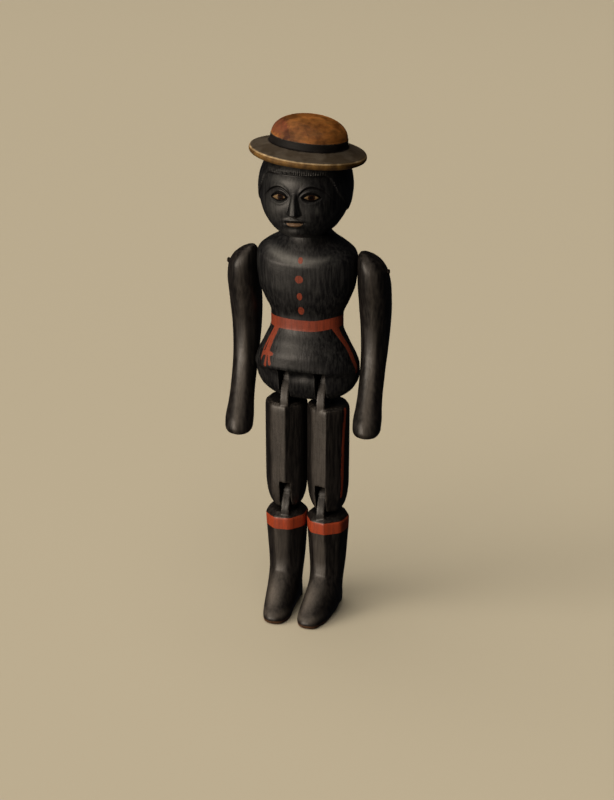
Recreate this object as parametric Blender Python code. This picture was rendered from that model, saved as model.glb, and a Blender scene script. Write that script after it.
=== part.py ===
"""A jointed dancing doll of carved, painted wood, standing upright on its boots.

The doll faces -Y, its own left hand is at +X and its soles stand on z = 0.
The body and head are carved from one block. The hat is turned and sits askew on the head.
Each arm swings on a nail through its shoulder. The thighs hang by tongues in two slots of
the hips, and the boots by tongues in the forks of the thighs, all on round wooden pins.
"""

import math

import bmesh
import bpy
from mathutils import Matrix, Vector

# Driving sizes, in metres. What belongs to the carved figure is a share of its height.
MM = 0.001
FIGURE_HEIGHT = 299 * MM
U = FIGURE_HEIGHT / 299  # the unit of the carving, one 299th of the figure's height

THIGH_WIDTH = 23.6 * U  # across the flats of its octagon
THIGH_GAP = 1.4 * MM
BOOT_GAP = 1.0 * MM  # between the tops of the two boots
TONGUE_SPACING = 21.4 * U  # between the middles of the two tongues
TONGUE_THICKNESS = 4.8 * MM
TONGUE_PLAY = 0.8 * MM  # the slot's clearance on each side of a tongue
TONGUE_REACH = 7.0 * MM  # from a leg pin's axis to the round end of its tongue
SLOT_CLEARANCE = 2.0 * MM  # between the round end of a tongue and the end of its slot
THIGH_TOP_HEIGHT = 133.2 * U
HIP_GAP = 2.8 * MM  # between the tops of the thighs and the underside of the body
HIP_PIN_RISE = 14.3 * MM  # of the hip pin above the top of the thighs
BOOT_TOP_HEIGHT = 63.6 * U
KNEE_PIN_RISE = 11.4 * MM  # of a knee pin above the top of the boot
KNEE_GAP = 2.6 * MM  # between the cheeks of a thigh's fork and the boot below them

YOKE_RISE = 86.5 * U  # of the edge between chest and sloping shoulders, above the crotch
SHOULDER_PIN_DROP = {"right": 9.2 * MM, "left": 7.6 * MM}  # of each nail below that edge
ARM_LENGTH = {"right": 110.5 * U, "left": 105.6 * U}  # the arms are cut unevenly
ARM_RISE = 10.2 * MM  # of an arm's top above its nail
ARM_THICKNESS = 18.2 * U  # across the upper arm, from its sawn inner face outwards
ARM_GAP = 0.5 * MM  # between the body's side and the sawn face of an arm

PIN_DIAMETER = 2.4 * MM
PIN_FIT = 0.3 * MM  # the hole's clearance all round a pin
PIN_SETBACK = 1.0 * MM  # of a leg pin's ends below the surface
NAIL_HEAD_DIAMETER = 3.0 * MM
NAIL_HEAD_HEIGHT = 0.9 * MM
NAIL_DEPTH = 14 * MM  # of a shoulder nail's point in the body

HAT_BRIM_DIAMETER = 64.4 * MM
HAT_CROWN_DIAMETER = 42.6 * MM
HAT_RIM_THICKNESS = 4.0 * MM
HAT_BRIM_RISE = 3.2 * MM  # from the rim's upper edge to the foot of the crown
HAT_BAND_HEIGHT = 4.2 * MM
HAT_DOME_HEIGHT = 10.6 * MM
HAT_TILT = math.radians(4.9)  # down towards the doll's left
HAT_TIP = math.radians(3.0)  # back
HAT_FIT = 0.3 * MM  # between the hat and the flat top of the head
HAT_SEAT_RISE = 140.9 * U  # of the hat's underside above the crotch

HEEL_HEIGHT = 3.0 * MM
HEEL_LENGTH = 7.0 * MM
ARCH_LENGTH = 9.0 * MM

# Numbers of facets
BODY_COLUMNS = 44
ARM_COLUMNS = 12
BOOT_COLUMNS = 24
HAT_COLUMNS = 32
DOME_STEPS = 6
PIN_COLUMNS = 12
TONGUE_SIDE_STEPS = 4
TONGUE_END_STEPS = 8

SIDES = (("right", -1), ("left", 1))
LEG_X = (THIGH_WIDTH + THIGH_GAP) / 2
BOOT_TOP_WIDTH = 2 * LEG_X - BOOT_GAP
TONGUE_X = TONGUE_SPACING / 2
SLOT_WIDTH = TONGUE_THICKNESS + 2 * TONGUE_PLAY
CROTCH_HEIGHT = THIGH_TOP_HEIGHT + HIP_GAP
YOKE_HEIGHT = CROTCH_HEIGHT + YOKE_RISE
HAT_SEAT_HEIGHT = CROTCH_HEIGHT + HAT_SEAT_RISE
HIP_PIN_HEIGHT = THIGH_TOP_HEIGHT + HIP_PIN_RISE
KNEE_PIN_HEIGHT = BOOT_TOP_HEIGHT + KNEE_PIN_RISE
PIN_RADIUS = PIN_DIAMETER / 2
HOLE_RADIUS = PIN_RADIUS + PIN_FIT
CUT = 0.2 * FIGURE_HEIGHT  # a cutter's reach past what it cuts


# Smooth curves through a few stations

def through(stations, at):
    """The values at one height of smooth curves through rows of (height, value, value, ...)."""
    heights = [row[0] for row in stations]
    at = min(max(at, heights[0]), heights[-1])
    i = max(k for k in range(len(heights) - 1) if heights[k] <= at)
    span = heights[i + 1] - heights[i]
    t = (at - heights[i]) / span
    values = []
    for column in range(1, len(stations[0])):
        low, high = stations[i][column], stations[i + 1][column]
        leave = span * tangent(stations, i, column)
        arrive = span * tangent(stations, i + 1, column)
        values.append(
            low * (1 + 2 * t) * (1 - t) ** 2
            + leave * t * (1 - t) ** 2
            + high * t * t * (3 - 2 * t)
            - arrive * t * t * (1 - t)
        )
    return values


def tangent(stations, i, column):
    """A slope at one station that never makes the curve overshoot its neighbours."""

    def slope(k):
        rise = stations[k + 1][column] - stations[k][column]
        return rise / (stations[k + 1][0] - stations[k][0])

    if i == 0:
        return slope(0)
    if i == len(stations) - 1:
        return slope(i - 1)
    before, after = slope(i - 1), slope(i)
    if before * after <= 0:
        return 0.0
    return 2 * before * after / (before + after)


def levels(*runs):
    """Heights from runs of (start, end, steps), each run going on from the one before."""
    heights = [runs[0][0]]
    for start, end, steps in runs:
        heights += [start + (end - start) * (k + 1) / steps for k in range(steps)]
    return heights


def bell(distance, reach):
    return math.exp(-((distance / reach) ** 2))


def power(value, exponent):
    return math.copysign(abs(value) ** exponent, value)


# Sections, as lists of (x, y) within -1 to 1, running anticlockwise

def oval(columns, squareness, front_crowding=0.0, start=0.0):
    """A superellipse from a turn off its front; crowding draws its points to the front."""
    points = []
    for k in range(columns):
        turn = start + math.tau * k / columns
        turn -= front_crowding * math.sin(turn)
        points.append((power(math.sin(turn), 2 / squareness), -power(math.cos(turn), 2 / squareness)))
    return points


def octagon(columns, twist):
    """A regular octagon with its front flat turned by the twist, from a corner on its left."""
    points = []
    side = math.tau / 8
    for k in range(columns):
        turn = side / 2 + math.tau * k / columns
        off_flat = (turn + side / 2) % side - side / 2
        reach = 1 / math.cos(off_flat)
        points.append((reach * math.cos(turn - twist), reach * math.sin(turn - twist)))
    return points


# Building meshes

def loft(name, rings):
    """A closed mesh through rings of as many points each, from the lowest up."""
    shape = bmesh.new()
    rows = [[shape.verts.new(point) for point in ring] for ring in rings]
    columns = len(rows[0])
    for low, high in zip(rows, rows[1:]):
        for k in range(columns):
            following = (k + 1) % columns
            shape.faces.new((low[k], low[following], high[following], high[k]))
    shape.faces.new(reversed(rows[0]))
    shape.faces.new(rows[-1])
    return finish_mesh(name, shape)


def plate(name, outline, middle_x, thickness):
    """A flat plate in the YZ plane, from an outline of (y, z) points."""
    shape = bmesh.new()
    corners = [shape.verts.new((middle_x - thickness / 2, y, z)) for y, z in outline]
    face = shape.faces.new(corners)
    pushed = bmesh.ops.extrude_face_region(shape, geom=[face])["geom"]
    moved = [item for item in pushed if isinstance(item, bmesh.types.BMVert)]
    bmesh.ops.translate(shape, verts=moved, vec=(thickness, 0, 0))
    return finish_mesh(name, shape)


def rod(name, radius, start_x, end_x, height):
    """A round rod along X, in the plane that parts the figure's front from its back."""
    shape = bmesh.new()
    bmesh.ops.create_cone(
        shape,
        cap_ends=True,
        segments=PIN_COLUMNS,
        radius1=radius,
        radius2=radius,
        depth=abs(end_x - start_x),
        matrix=Matrix.Translation(((start_x + end_x) / 2, 0, height)) @ Matrix.Rotation(math.pi / 2, 4, "Y"),
    )
    return finish_mesh(name, shape)


def finish_mesh(name, shape):
    bmesh.ops.recalc_face_normals(shape, faces=shape.faces)
    mesh = bpy.data.meshes.new(name)
    shape.to_mesh(mesh)
    shape.free()
    obj = bpy.data.objects.new(name, mesh)
    bpy.context.scene.collection.objects.link(obj)
    return obj


def smooth(obj, edge_degrees):
    obj.data.shade_smooth()
    obj.data.set_sharp_from_angle(angle=math.radians(edge_degrees))


def boolean(obj, operation, helper):
    modifier = obj.modifiers.new(helper.name, "BOOLEAN")
    modifier.operation = operation
    modifier.solver = "EXACT"
    modifier.object = helper
    helper.hide_render = True
    helper.display_type = "WIRE"


def hang_from(obj, x, y, z):
    """Moves an object's origin to the axis that it swings on, its mesh staying in place."""
    pivot = Vector((x, y, z))
    obj.data.transform(Matrix.Translation(-pivot))
    obj.location = pivot


def paint(obj, name, colour, roughness, metallic=0.0):
    material = bpy.data.materials.get(name)
    if material is None:
        material = bpy.data.materials.new(name)
        material.use_nodes = True
        shader = material.node_tree.nodes["Principled BSDF"]
        shader.inputs["Base Color"].default_value = (*colour, 1)
        shader.inputs["Roughness"].default_value = roughness
        shader.inputs["Metallic"].default_value = metallic
    obj.data.materials.append(material)


# The body: height above the crotch, half width, front, back and squareness, in the
# figure's units. It rises over the hips, waist, chest and shoulders to the neck.
TORSO = (
    (0.0, 13.0, -6.0, 8.0, 2.2),
    (1.4, 18.8, -8.8, 10.8, 2.3),
    (3.8, 23.0, -10.6, 12.8, 2.4),
    (7.6, 27.0, -12.2, 14.6, 2.4),
    (14.0, 29.8, -13.2, 16.2, 2.4),
    (17.2, 30.0, -14.2, 16.6, 2.4),
    (20.8, 30.1, -17.0, 16.8, 2.4),
    (27.0, 28.4, -16.8, 16.0, 2.3),
    (35.0, 24.6, -14.8, 13.8, 2.2),
    (45.0, 20.8, -12.0, 11.2, 2.2),
    (51.0, 20.8, -12.0, 11.2, 2.2),
    (60.0, 24.2, -13.8, 12.8, 2.4),
    (69.0, 27.4, -15.2, 14.4, 2.6),
    (79.0, 28.4, -15.8, 15.2, 2.6),
    (85.5, 28.4, -15.9, 15.2, 2.5),
    (89.0, 27.2, -14.9, 14.6, 2.4),
    (93.0, 22.4, -13.0, 13.8, 2.2),
    (96.4, 16.6, -11.4, 13.0, 2.0),
    (98.0, 14.4, -11.0, 12.8, 2.0),
)
# The head goes on from the neck: the jaw juts over the throat, and the crown ends in the hat.
HEAD = (
    (98.0, 14.4, -11.0, 12.8, 2.0),
    (99.4, 13.6, -15.0, 13.0, 2.0),
    (100.8, 13.4, -20.2, 13.4, 2.0),
    (102.4, 15.2, -22.8, 13.8, 2.0),
    (105.0, 18.0, -24.2, 13.0, 2.0),
    (108.0, 20.1, -25.0, 13.6, 2.1),
    (112.0, 22.5, -25.7, 15.0, 2.1),
    (119.0, 24.8, -26.2, 18.4, 2.1),
    (126.0, 25.3, -26.4, 20.4, 2.1),
    (132.0, 24.6, -26.0, 20.6, 2.1),
    (138.0, 22.6, -24.0, 19.0, 2.1),
    (144.0, 19.4, -20.8, 16.4, 2.1),
    (149.0, 15.0, -16.0, 12.4, 2.1),
)
NECK_RISE = 98.0  # where the torso's sections give way to the head's
# The face: places and sizes in the figure's units, heights above the crotch
EYE_X = 8.9
EYE_Z = 123.8
BROW_Z = 130.2
NOSE_TOP_Z = 127.0
NOSE_TIP_Z = 115.4
NOSE_BASE_Z = 113.3
NOSE_REACH = 3.6
MOUTH_Z = 110.7
MOUTH_HALF_WIDTH = 5.6
CHIN_Z = 104.2
CHEEK_X = 11.0
CHEEK_Z = 115.5
CHIN_HALF_WIDTH = 6.5
HAIR_THICKNESS = 0.8
HAIR_BEVEL = 2.2
HAIR_FRONT_Z = 136.6
HAIR_TEMPLE_Z = 125.8
HAIR_NAPE_Z = 110.0

BODY_LEVELS = levels(
    (0.0, 8.0, 4),
    (8.0, 20.8, 3),
    (20.8, 52.0, 5),
    (52.0, 86.0, 5),
    (86.0, NECK_RISE, 5),
    (NECK_RISE, 103.0, 3),
    (103.0, NOSE_BASE_Z, 7),
    (NOSE_BASE_Z, NOSE_TIP_Z, 1),
    (NOSE_TIP_Z, 138.0, 14),
    (138.0, 149.0, 2),
)
YOKE_DIP = 3.4  # of the yoke's edge at the front
FRONT_CROWDING = 0.5  # of the body's columns towards its front, for the face


def nose(x, z):
    """A straight wedge that widens and rises to its tip, cut off square below."""
    if z > NOSE_TIP_Z:
        down = min(max((NOSE_TOP_Z - z) / (NOSE_TOP_Z - NOSE_TIP_Z), 0.0), 1.0)
    else:
        down = min(max((z - NOSE_BASE_Z) / (NOSE_TIP_Z - NOSE_BASE_Z), 0.0), 1.0)
    half_width = 1.6 + 1.9 * down
    across = min(abs(x) / half_width, 1.0)
    return NOSE_REACH * down ** 0.85 * (1 - across ** 2.2)


def face_relief(x, z):
    """How far the face stands out in front of the plain head, at a place on its front."""
    side = abs(x) - EYE_X
    brow_z = BROW_Z - 0.095 * side ** 2
    brow = 1.1 * bell(z - brow_z, 1.3) * bell(side, 7.5)
    socket = -1.9 * bell(side, 5.8) * bell(z - EYE_Z - 0.6, 3.4)
    eye = 1.7 * bell(side, 3.8) * bell(z - EYE_Z, 2.0)
    cheek = 0.5 * bell(abs(x) - CHEEK_X, 5.0) * bell(z - CHEEK_Z, 4.0)
    lips = 1.3 * bell(x, MOUTH_HALF_WIDTH) * (
        bell(z - MOUTH_Z - 1.5, 1.2) + bell(z - MOUTH_Z + 1.5, 1.2)
    )
    chin = 0.9 * bell(x, CHIN_HALF_WIDTH) * bell(z - CHIN_Z, 2.4)
    return nose(x, z) + brow + socket + eye + cheek + lips + chin


def hair_edge(turn):
    """The height of the hair's edge at a turn from the front, in radians either way."""
    degrees = abs(math.degrees(turn))
    (edge,) = through(
        (
            (0.0, HAIR_FRONT_Z),
            (40.0, HAIR_FRONT_Z - 0.2),
            (48.0, HAIR_FRONT_Z - 1.9),
            (59.5, HAIR_TEMPLE_Z),
            (100.0, HAIR_NAPE_Z + 3.0),
            (180.0, HAIR_NAPE_Z),
        ),
        degrees,
    )
    return edge


def hair_relief(x, y, z):
    """How far the hair stands out, rising over a short bevel above its edge."""
    above = z - hair_edge(math.atan2(x, -y))
    return HAIR_THICKNESS * min(max(above / HAIR_BEVEL + 0.5, 0.0), 1.0)


def body_ring(level):
    stations = TORSO if level < NECK_RISE else HEAD
    half_width, front, back, squareness = through(stations, level)
    middle, depth = (front + back) / 2, (back - front) / 2
    yoke = YOKE_DIP * bell(level - YOKE_RISE / U, 7.0)
    ring = []
    for across, along in oval(BODY_COLUMNS, squareness, FRONT_CROWDING):
        x, y, z = half_width * across, middle + depth * along, level
        if level > NECK_RISE:
            hair = hair_relief(x, y - middle, z)
            x, y = x * (1 + hair / half_width), y + hair * along
            if along < 0:
                y -= face_relief(x, z) * min(1.0, -1.6 * along)
        z -= yoke * max(0.0, -along) ** 3
        ring.append((x * U, y * U, CROTCH_HEIGHT + z * U))
    return ring


def make_body():
    body = loft("body", [body_ring(level) for level in BODY_LEVELS])
    seat_body_under_hat(body)
    slot_top = HIP_PIN_HEIGHT + TONGUE_REACH + SLOT_CLEARANCE
    for label, side in SIDES:
        slot = plate(
            f"{label}_hip_slot",
            ((-CUT, 0), (CUT, 0), (CUT, slot_top), (-CUT, slot_top)),
            side * TONGUE_X,
            SLOT_WIDTH,
        )
        boolean(body, "DIFFERENCE", slot)
        start = side * (body_side() - NAIL_DEPTH - PIN_FIT)
        hole = rod(f"{label}_shoulder_hole", HOLE_RADIUS, start, side * CUT, shoulder_pin_height(label))
        boolean(body, "DIFFERENCE", hole)
    boolean(body, "DIFFERENCE", rod("hip_hole", HOLE_RADIUS, -CUT, CUT, HIP_PIN_HEIGHT))
    smooth(body, 40)
    paint(body, "black_painted_wood", (0.018, 0.016, 0.016), 0.45)
    return body


def seat_body_under_hat(body):
    """Cuts the top of the head flat, along the underside of the hat."""
    shape = bmesh.new()
    shape.from_mesh(body.data)
    lift = hat_place().to_3x3() @ Vector((0, 0, 1))
    cut = bmesh.ops.bisect_plane(
        shape,
        geom=list(shape.verts) + list(shape.edges) + list(shape.faces),
        plane_co=hat_place().translation - lift * HAT_FIT,
        plane_no=lift,
        clear_outer=True,
    )
    rim = [item for item in cut["geom_cut"] if isinstance(item, bmesh.types.BMEdge)]
    bmesh.ops.edgeloop_fill(shape, edges=rim)
    bmesh.ops.recalc_face_normals(shape, faces=shape.faces)
    shape.to_mesh(body.data)
    shape.free()


def body_side():
    """Half the body's width at the shoulders, where the arms are nailed on."""
    return through(TORSO, YOKE_RISE / U)[0] * U


def shoulder_pin_height(label):
    return YOKE_HEIGHT - SHOULDER_PIN_DROP[label]


# The hat

def hat_place():
    turn = Matrix.Rotation(HAT_TILT, 4, "Y") @ Matrix.Rotation(-HAT_TIP, 4, "X")
    return Matrix.Translation((0, 0, HAT_SEAT_HEIGHT)) @ turn


def hat_profile():
    """(radius, height) from the underside's rim over the brim, band and dome to the top."""
    brim = HAT_BRIM_DIAMETER / 2
    crown = HAT_CROWN_DIAMETER / 2
    thick = HAT_RIM_THICKNESS
    foot = thick + HAT_BRIM_RISE
    band_top = foot + HAT_BAND_HEIGHT
    points = [(brim - 0.36 * thick, 0)]
    points += [(brim - 0.08 * thick, 0.22 * thick), (brim, 0.5 * thick)]
    points += [(brim - 0.06 * thick, 0.8 * thick), (brim - 0.24 * thick, thick)]
    points += [((brim + crown) / 2, thick + 0.42 * HAT_BRIM_RISE), (crown + 0.3 * MM, foot)]
    points += [(crown, foot + 0.4 * MM), (crown - 0.2 * MM, band_top)]
    for k in range(1, DOME_STEPS):
        turn = math.pi / 2 * k / DOME_STEPS
        reach = math.cos(turn) ** 0.82
        points.append(((crown - 0.5 * MM) * reach, band_top + HAT_DOME_HEIGHT * math.sin(turn)))
    return points


def make_hat():
    rings = []
    for radius, height in hat_profile():
        turns = [math.tau * k / HAT_COLUMNS for k in range(HAT_COLUMNS)]
        rings.append([(radius * math.cos(t), radius * math.sin(t), height) for t in turns])
    hat = loft("hat", rings)
    hat.matrix_world = hat_place()
    smooth(hat, 35)
    paint(hat, "brown_painted_wood", (0.23, 0.085, 0.03), 0.5)


# The arms: share of the length from the hand up, how far back and how far inwards in the
# figure's units, and the thickness and depth as shares of the upper arm's thickness.
# Each has its elbow bent back, its hand forward, and a plain mitt for a hand.
ARM = (
    (0.0, -11.6, 0.0, 0.46, 0.46),
    (0.012, -11.6, 0.0, 0.73, 0.70),
    (0.041, -11.2, 0.0, 0.88, 0.86),
    (0.085, -9.8, 0.0, 0.90, 0.88),
    (0.156, -6.4, 0.0, 0.82, 0.81),
    (0.227, -3.0, 0.0, 0.78, 0.79),
    (0.334, 1.8, 0.0, 0.79, 0.84),
    (0.449, 5.4, 0.0, 0.85, 0.92),
    (0.565, 6.6, 0.0, 0.93, 1.01),
    (0.689, 5.4, 0.0, 1.01, 1.08),
    (0.805, 2.8, 0.0, 1.03, 1.10),
    (0.893, 0.8, 0.4, 0.95, 1.02),
    (0.947, 0.0, 1.8, 0.79, 0.84),
    (0.982, -0.2, 3.8, 0.54, 0.58),
    (1.0, -0.2, 5.2, 0.25, 0.28),
)
ARM_LEVELS = levels((0.0, 0.05, 3), (0.05, 0.87, 10), (0.87, 1.0, 5))


def arm_face():
    """The sawn inner face of an arm, as its distance from the middle of the doll."""
    return body_side() + ARM_GAP


def arm_foot(label):
    """The height of the hand's lower end."""
    return shoulder_pin_height(label) + ARM_RISE - ARM_LENGTH[label]


def make_arm(label, side):
    middle = arm_face() + ARM_THICKNESS / 2
    rings = []
    for share in ARM_LEVELS:
        back, inwards, thickness, depth = through(ARM, share)
        x = side * (middle - inwards * U)
        height = arm_foot(label) + share * ARM_LENGTH[label]
        half_thickness = thickness * ARM_THICKNESS / 2
        half_depth = depth * ARM_THICKNESS / 2
        section = oval(ARM_COLUMNS, 2.1)
        rings.append([(x + half_thickness * a, back * U + half_depth * b, height) for a, b in section])
    arm = loft(f"{label}_arm", rings)
    saw_inner_face(arm, side)
    pin_height = shoulder_pin_height(label)
    hole = rod(f"{label}_arm_hole", HOLE_RADIUS, 0, side * 2 * CUT, pin_height)
    seat_radius = NAIL_HEAD_DIAMETER / 2 + PIN_FIT
    seat_start = side * arm_outside(label, pin_height)
    seat = rod(f"{label}_nail_seat", seat_radius, seat_start, side * 2 * CUT, pin_height)
    boolean(arm, "DIFFERENCE", hole)
    boolean(arm, "DIFFERENCE", seat)
    for obj in (arm, hole, seat):
        hang_from(obj, side * middle, 0, pin_height)
    smooth(arm, 40)
    paint(arm, "black_painted_wood", (0.018, 0.016, 0.016), 0.45)


def saw_inner_face(arm, side):
    shape = bmesh.new()
    shape.from_mesh(arm.data)
    cut = bmesh.ops.bisect_plane(
        shape,
        geom=list(shape.verts) + list(shape.edges) + list(shape.faces),
        plane_co=(side * arm_face(), 0, 0),
        plane_no=(-side, 0, 0),
        clear_outer=True,
    )
    rim = [item for item in cut["geom_cut"] if isinstance(item, bmesh.types.BMEdge)]
    bmesh.ops.edgeloop_fill(shape, edges=rim)
    bmesh.ops.recalc_face_normals(shape, faces=shape.faces)
    shape.to_mesh(arm.data)
    shape.free()


def arm_outside(label, height):
    """The outer surface of an arm at a height, as its distance from the middle."""
    share = (height - arm_foot(label)) / ARM_LENGTH[label]
    _, inwards, thickness, _ = through(ARM, share)
    return arm_face() + (1 + thickness) * ARM_THICKNESS / 2 - inwards * U


def make_shoulder_pin(label, side):
    """A nail: its point in the body, its head proud of the arm."""
    height = shoulder_pin_height(label)
    point = side * (body_side() - NAIL_DEPTH)
    under_head = side * (arm_outside(label, height) + PIN_FIT)
    top = under_head + side * NAIL_HEAD_HEIGHT
    head = NAIL_HEAD_DIAMETER / 2
    edge = (under_head + top) / 2
    profile = ((PIN_RADIUS, point), (PIN_RADIUS, under_head), (head, under_head), (head, edge), (0.6 * head, top))
    turns = [math.tau * k / PIN_COLUMNS for k in range(PIN_COLUMNS)]
    rings = [[(x, r * math.cos(t), height + r * math.sin(t)) for t in turns] for r, x in profile]
    pin = loft(f"{label}_shoulder_pin", rings)
    hang_from(pin, under_head, 0, height)
    smooth(pin, 40)
    paint(pin, "iron_nail", (0.05, 0.045, 0.04), 0.5, 0.8)


# The thighs: share of the height from the fork's end up, and the octagon's size as a
# share of the thigh's full width.
THIGH = (
    (0.0, 0.60),
    (0.015, 0.70),
    (0.06, 0.82),
    (0.14, 0.93),
    (0.26, 0.99),
    (0.65, 1.0),
    (0.92, 1.0),
    (0.975, 0.98),
    (1.0, 0.84),
)
THIGH_LEVELS = levels((0.0, 0.06, 3), (0.06, 0.27, 4), (0.27, 0.94, 3), (0.94, 1.0, 3))
# How far the carved faces of each thigh are turned towards the doll's right
THIGH_TWIST = {"right": math.radians(10.5), "left": math.radians(14)}
TONGUE_ROOT_SHARE = 0.96  # half the hip tongue's depth at its root, of half the thigh's width
KNEE_ROOT_SHARE = 0.89  # the same for the knee tongue and the boot's top


def tongue_outline(root_height, root_half_depth, pin_height):
    """(y, z) points of a tongue that narrows upwards to a round end about its pin."""
    sunk = root_height - 8 * U
    outline = [(root_half_depth, sunk)]
    for k in range(TONGUE_SIDE_STEPS):
        share = k / TONGUE_SIDE_STEPS
        swell = math.cos(math.pi / 2 * share)
        half = TONGUE_REACH + (root_half_depth - TONGUE_REACH) * swell
        outline.append((half, root_height + (pin_height - root_height) * share))
    back = [(-y, z) for y, z in reversed(outline)]
    for k in range(TONGUE_END_STEPS + 1):
        turn = math.pi * k / TONGUE_END_STEPS
        outline.append((TONGUE_REACH * math.cos(turn), pin_height + TONGUE_REACH * math.sin(turn)))
    return outline + back


def thigh_foot():
    """The height of the ends of the fork's cheeks."""
    return BOOT_TOP_HEIGHT + KNEE_GAP


def thigh_size(height):
    """The octagon's half width at a height."""
    share = (height - thigh_foot()) / (THIGH_TOP_HEIGHT - thigh_foot())
    return through(THIGH, share)[0] * THIGH_WIDTH / 2


def make_thigh(label, side):
    rings = []
    for share in THIGH_LEVELS:
        height = thigh_foot() + share * (THIGH_TOP_HEIGHT - thigh_foot())
        half = thigh_size(height)
        section = octagon(8, THIGH_TWIST[label])
        rings.append([(side * LEG_X + half * a, half * b, height) for a, b in section])
    thigh = loft(f"{label}_thigh", rings)
    root = TONGUE_ROOT_SHARE * THIGH_WIDTH / 2
    tongue = plate(
        f"{label}_hip_tongue",
        tongue_outline(THIGH_TOP_HEIGHT, root, HIP_PIN_HEIGHT),
        side * TONGUE_X,
        TONGUE_THICKNESS,
    )
    boolean(thigh, "UNION", tongue)
    fork_top = KNEE_PIN_HEIGHT + TONGUE_REACH + SLOT_CLEARANCE
    fork = plate(
        f"{label}_fork_slot",
        ((-CUT, 0), (CUT, 0), (CUT, fork_top), (-CUT, fork_top)),
        side * TONGUE_X,
        SLOT_WIDTH,
    )
    boolean(thigh, "DIFFERENCE", fork)
    helpers = [tongue, fork]
    for joint, height in (("hip", HIP_PIN_HEIGHT), ("knee", KNEE_PIN_HEIGHT)):
        hole = rod(f"{label}_thigh_{joint}_hole", HOLE_RADIUS, -CUT, CUT, height)
        boolean(thigh, "DIFFERENCE", hole)
        helpers.append(hole)
    for obj in [thigh] + helpers:
        hang_from(obj, side * TONGUE_X, 0, HIP_PIN_HEIGHT)
    smooth(thigh, 30)
    paint(thigh, "black_painted_wood", (0.018, 0.016, 0.016), 0.45)


# The boots: height, half width as a share of the boot's top, toe, heel, toe's half width
# and roundness, in the figure's units apart from the two shares.
BOOT = (
    (0.0, 0.74, -30.4, 11.6, 8.2, 1.0),
    (0.8, 0.78, -31.6, 12.2, 8.8, 1.0),
    (3.0, 0.81, -32.0, 12.6, 9.1, 1.0),
    (6.0, 0.81, -30.8, 12.4, 9.1, 1.0),
    (8.4, 0.80, -28.8, 11.9, 9.0, 1.0),
    (10.6, 0.80, -26.0, 11.3, 9.2, 1.0),
    (13.6, 0.80, -22.4, 10.8, 9.4, 1.0),
    (17.5, 0.80, -18.4, 10.5, 9.6, 0.9),
    (22.0, 0.81, -14.6, 10.7, 9.9, 0.7),
    (26.0, 0.83, -12.0, 10.9, 10.2, 0.5),
    (34.0, 0.88, -10.8, 11.4, 10.8, 0.3),
    (46.0, 0.94, -11.2, 11.8, 11.4, 0.1),
    (60.0, 1.0, -11.8, 12.2, 12.0, 0.0),
    (61.2, 0.96, -11.4, 11.8, 11.6, 0.0),
    (63.6, 0.74, -9.2, 9.6, 9.0, 0.0),
)
BOOT_LEVELS = levels((0.0, 0.8, 1), (0.8, 26.0, 9), (26.0, 60.0, 3), (60.0, 61.2, 1), (61.2, 63.6, 1))
BOOT_TWIST = {"right": 0.0, "left": math.radians(14)}  # the same for each boot's shaft
TOE_IN = 2.0  # how far the straight inner edge draws each toe inwards
TOE_ASIDE = -2.0  # how far both toes point to the doll's right
HEEL_BACK = 12.6
INSTEP_START = 8.0  # in front of the leg's middle, where the boot starts to narrow to its toe
INSTEP_LENGTH = 18.0
SOLE_SQUARENESS = 2.9  # of the foot's outline on the ground
INSTEP_SQUARENESS = 2.2  # of the rounder sections at the instep's height and above
INSTEP_HEIGHT = 14.0
# The waist of the sole: how far back, and how far both its edges are drawn in there
WAIST = (
    (-30.0, 0.0),
    (-22.0, 0.4),
    (-13.0, 2.4),
    (-5.0, 3.0),
    (2.0, 2.5),
    (7.0, 0.6),
    (10.0, 0.0),
    (14.0, 0.0),
)
WAIST_HEIGHT = 8.0  # at which the foot has its full width again


def boot_ring(label, side, level):
    share, toe, heel, toe_half_width, roundness = through(BOOT, level)
    half_width = share * BOOT_TOP_WIDTH / 2 / U
    middle, depth = (toe + heel) / 2, (heel - toe) / 2
    rounding = (INSTEP_SQUARENESS - SOLE_SQUARENESS) * min(level / INSTEP_HEIGHT, 1.0)
    round_section = oval(BOOT_COLUMNS, SOLE_SQUARENESS + rounding, start=math.tau * 5 / 16)
    ring = []
    for round_point, flat_point in zip(round_section, octagon(BOOT_COLUMNS, BOOT_TWIST[label])):
        across = roundness * round_point[0] + (1 - roundness) * flat_point[0]
        along = roundness * round_point[1] + (1 - roundness) * flat_point[1]
        y = middle + depth * along
        forward = min(max((-y - INSTEP_START) / INSTEP_LENGTH, 0.0), 1.0)
        half = half_width + (toe_half_width - half_width) * forward
        half -= through(WAIST, y)[0] * max(0.0, 1 - level / WAIST_HEIGHT)
        x = half * across + (TOE_ASIDE - side * TOE_IN) * forward
        ring.append((side * LEG_X + x * U, y * U, level * U))
    return ring


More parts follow.
